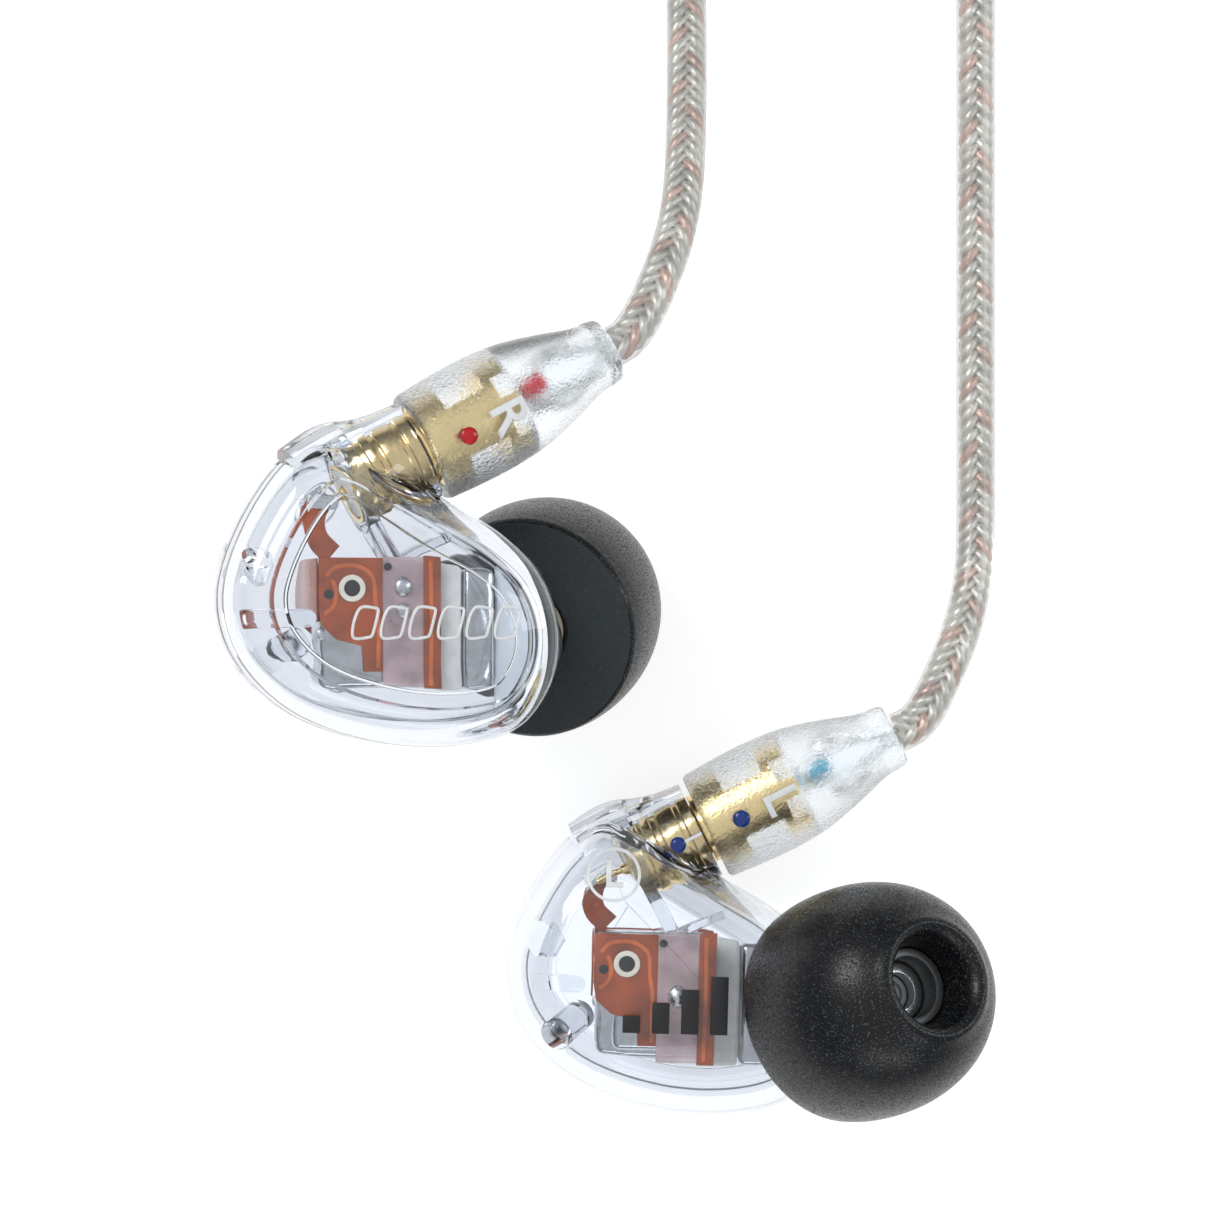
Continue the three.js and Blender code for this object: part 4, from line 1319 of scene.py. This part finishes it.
class MONITORS_OT_sleeves(bpy.types.Operator):
    """Makes the nozzles, their filters, and the foam sleeves with their inner tubes"""

    bl_idname = "monitors.sleeves"
    bl_label = "Sleeves"

    def execute(self, context):
        size = settings().sleeve
        length_mm, widest, bore = size.foam_length / MM, size.foam_radius / MM, size.nozzle_radius / MM
        for side in SIDES:
            tube = filleted(
                [(0, 0.95), (-2.6, 0.95), (-2.6, 1.85), (-2.1, 1.85), (-2.1, bore), (4.6, bore),
                 (4.65, bore - 0.08),
                 (4.9, bore - 0.08), (4.95, bore), (5.75, bore), (5.8, 0.95), (0, 0.95)], 0.05)
            side_piece("nozzle_tube", turned(tube, NOZZLE), side, "earpiece", nickel(), ["nozzle"])
            filter_profile = filleted(
                [(4.0, 0), (4.0, 0.9), (5.2, 0.9), (5.2, 0.62), (5.0, 0.6), (5.0, 0)], 0.04
            )
            side_piece(
                "nozzle_filter", turned(filter_profile, NOZZLE, 48), side, "earpiece", moulded("grey_filter"),
                ["damper"]
            )
            core = turned(sleeve(0.12, 6.9, 2.0, 1.55, 0.08), NOZZLE)
            # The tube's front faces get the near-black second material: painted shade where it sits deep in
            # the foam's mouth; beige is the tube's own colour.
            for face in core.faces:
                if past_seat(face) > CORE_SHADE_START:
                    face.material_index = 1
            core_tint_and_shade = [moulded("beige_core"), moulded("painted_shade_core", low=0.25, high=0.35)]
            side_piece("sleeve_tube", core, side, "sleeve", core_tint_and_shade, ["sleeve_core"])
            back = [
                (0.5, 2.06), (0.12, 2.12), (0, 2.3), (0, 3.5), (0, 4.8), (0, widest - 0.5),
                (0.06, widest - 0.38)
            ]
            flank = catmull(
                [(0.3, widest - 0.22, 0), (1.3, widest - 0.06, 0), (2.9, widest, 0), (4.6, widest - 0.14, 0),
                 (6.2, widest - 0.55, 0), (7.4, widest - 1.15, 0), (8.25, widest - 1.85, 0),
                 (8.8, widest - 2.5, 0), (length_mm - 0.02, widest - 2.95, 0), (length_mm, widest - 3.2, 0),
                 (8.95, 2.5, 0), (8.4, 2.25, 0), (7.6, 2.12, 0)], 0.16)
            profile = back + [(p.x, p.y) for p in flank] + [(7.2, 2.06), (4, 2.05), (0.5, 2.06)]
            foam = turned(profile, NOZZLE, 128)
            for face in foam.faces:
                if past_seat(face) < REAR_FACE_END:
                    face.material_index = 1
            piece = side_piece(
                "foam_sleeve", foam, side, "sleeve", [foam_skin(), foam_face()], ["foam_tip"], 60
            )
        return {"FINISHED"}


# ---- Marks --------------------------------------------------------------------------------------


class MONITORS_OT_marks(bpy.types.Operator):
    """Makes the plain level bars on the faceplate and on the ear side, and the raised side letter"""

    bl_idname = "monitors.marks"
    bl_label = "Marks"

    def slanted(self, x, y, width, height, slant=0.25):
        return [
            (x, y), (x + width, y), (x + width + slant * height, y + height), (x + slant * height, y + height)
        ]

    def frame_of(self, outline, radius, height):
        """The outline drawn as a thin raised line with round corners."""
        line = catmull(filleted([(x, y, height) for x, y in outline], 0.2), 0.1, closed=True)
        return swept([*line, line[0]], radius, 8)

    def execute(self, context):
        house = settings().housing
        plate_top, depth = house.plate_depth / MM, house.inner_depth / MM
        for side in SIDES:
            bars = []
            for k in range(6):
                outline = self.slanted(-4.4 + 1.45 * k, -9.45, 0.95, 1.45)
                bars.append(self.frame_of(outline, 0.075, plate_top))
            side_piece("faceplate_bars", merged(*bars), side, "earpiece", moulded("pale_inlay"))
            prints = []
            for k, height in enumerate((0.9, 1.6, 2.3, 3.0)):
                outline = [
                    (-4.1 + 1.5 * k, -10.5), (-3.2 + 1.5 * k, -10.5), (-3.2 + 1.5 * k, -10.5 + height),
                    (-4.1 + 1.5 * k, -10.5 + height)
                ]
                prints.append(plate(outline, -depth - 0.03, -depth + 0.02, 0.015))
            side_piece("ear_side_bars", merged(*prints), side, "earpiece", moulded("black_print"))
            ring = turned(sleeve(-0.05, 0.05, 1.4, 1.24, 0.03), upright(0, 0), 72)
            sign = letter(SIDE_LETTER[side], 2.0, 0.05)
            if side == "right":
                bmesh.ops.scale(sign, vec=(-1, 1, 1), verts=sign.verts[:])
            bmesh.ops.reverse_faces(sign, faces=sign.faces[:])
            badge = merged(ring, sign)
            bmesh.ops.translate(badge, vec=(-4.75, -2.4, 0), verts=badge.verts[:])
            settled(badge, SURFACES["ear_side"], -1)
            side_piece("ear_side_letter", badge, side, "earpiece", moulded("pale_inlay"))
        return {"FINISHED"}


# ---- Cable fittings -----------------------------------------------------------------------------


def dressed(names, entry):
    """Gives carried-over nodes a finished material."""
    for name in names:
        node = frame["nodes"][name]
        node.data.materials.clear()
        node.data.materials.append(entry)


class MONITORS_OT_fittings(bpy.types.Operator):
    """Finishes the slider, the split, the audio plug and the coil ties"""

    bl_idname = "monitors.fittings"
    bl_label = "Cable fittings"

    def execute(self, context):
        dressed(["slider", "y_split"], frosted_clear())
        dressed(["audio_plug_grip", "audio_plug_core"], moulded("black_grip"))
        dressed(["audio_plug_sleeve", "audio_plug_ring", "audio_plug_tip"], gold())
        dressed(["right_coil_tie", "left_coil_tie", "main_coil_tie"], moulded("black_strap"))
        return {"FINISHED"}


# ---- Panel and registration ---------------------------------------------------------------------

OPERATORS = (
    MONITORS_OT_stage,
    MONITORS_OT_cables,
    MONITORS_OT_housings,
    MONITORS_OT_connectors,
    MONITORS_OT_drivers,
    MONITORS_OT_sleeves,
    MONITORS_OT_marks,
    MONITORS_OT_fittings,
)


class MONITORS_PT_panel(bpy.types.Panel):
    """Lists the pieces of the monitors"""

    bl_idname = "MONITORS_PT_panel"
    bl_label = "In-Ear Monitors"
    bl_space_type = "VIEW_3D"
    bl_region_type = "UI"
    bl_category = "Monitors"

    def draw(self, context):
        for operator in OPERATORS:
            self.layout.operator(operator.bl_idname)


CLASSES = (
    HousingSizes, ConnectorSizes, SleeveSizes, CableSizes, MonitorColours, MonitorSettings, *OPERATORS,
    MONITORS_PT_panel,
)


def register():
    for entry in CLASSES:
        bpy.utils.register_class(entry)
    bpy.types.Scene.monitor_settings = bpy.props.PointerProperty(type=MonitorSettings)


def unregister():
    del bpy.types.Scene.monitor_settings
    for entry in reversed(CLASSES):
        bpy.utils.unregister_class(entry)


def main():
    register()
    for operator in OPERATORS:
        group, name = operator.bl_idname.split(".")
        getattr(getattr(bpy.ops, group), name)()


if __name__ == "__main__":
    main()
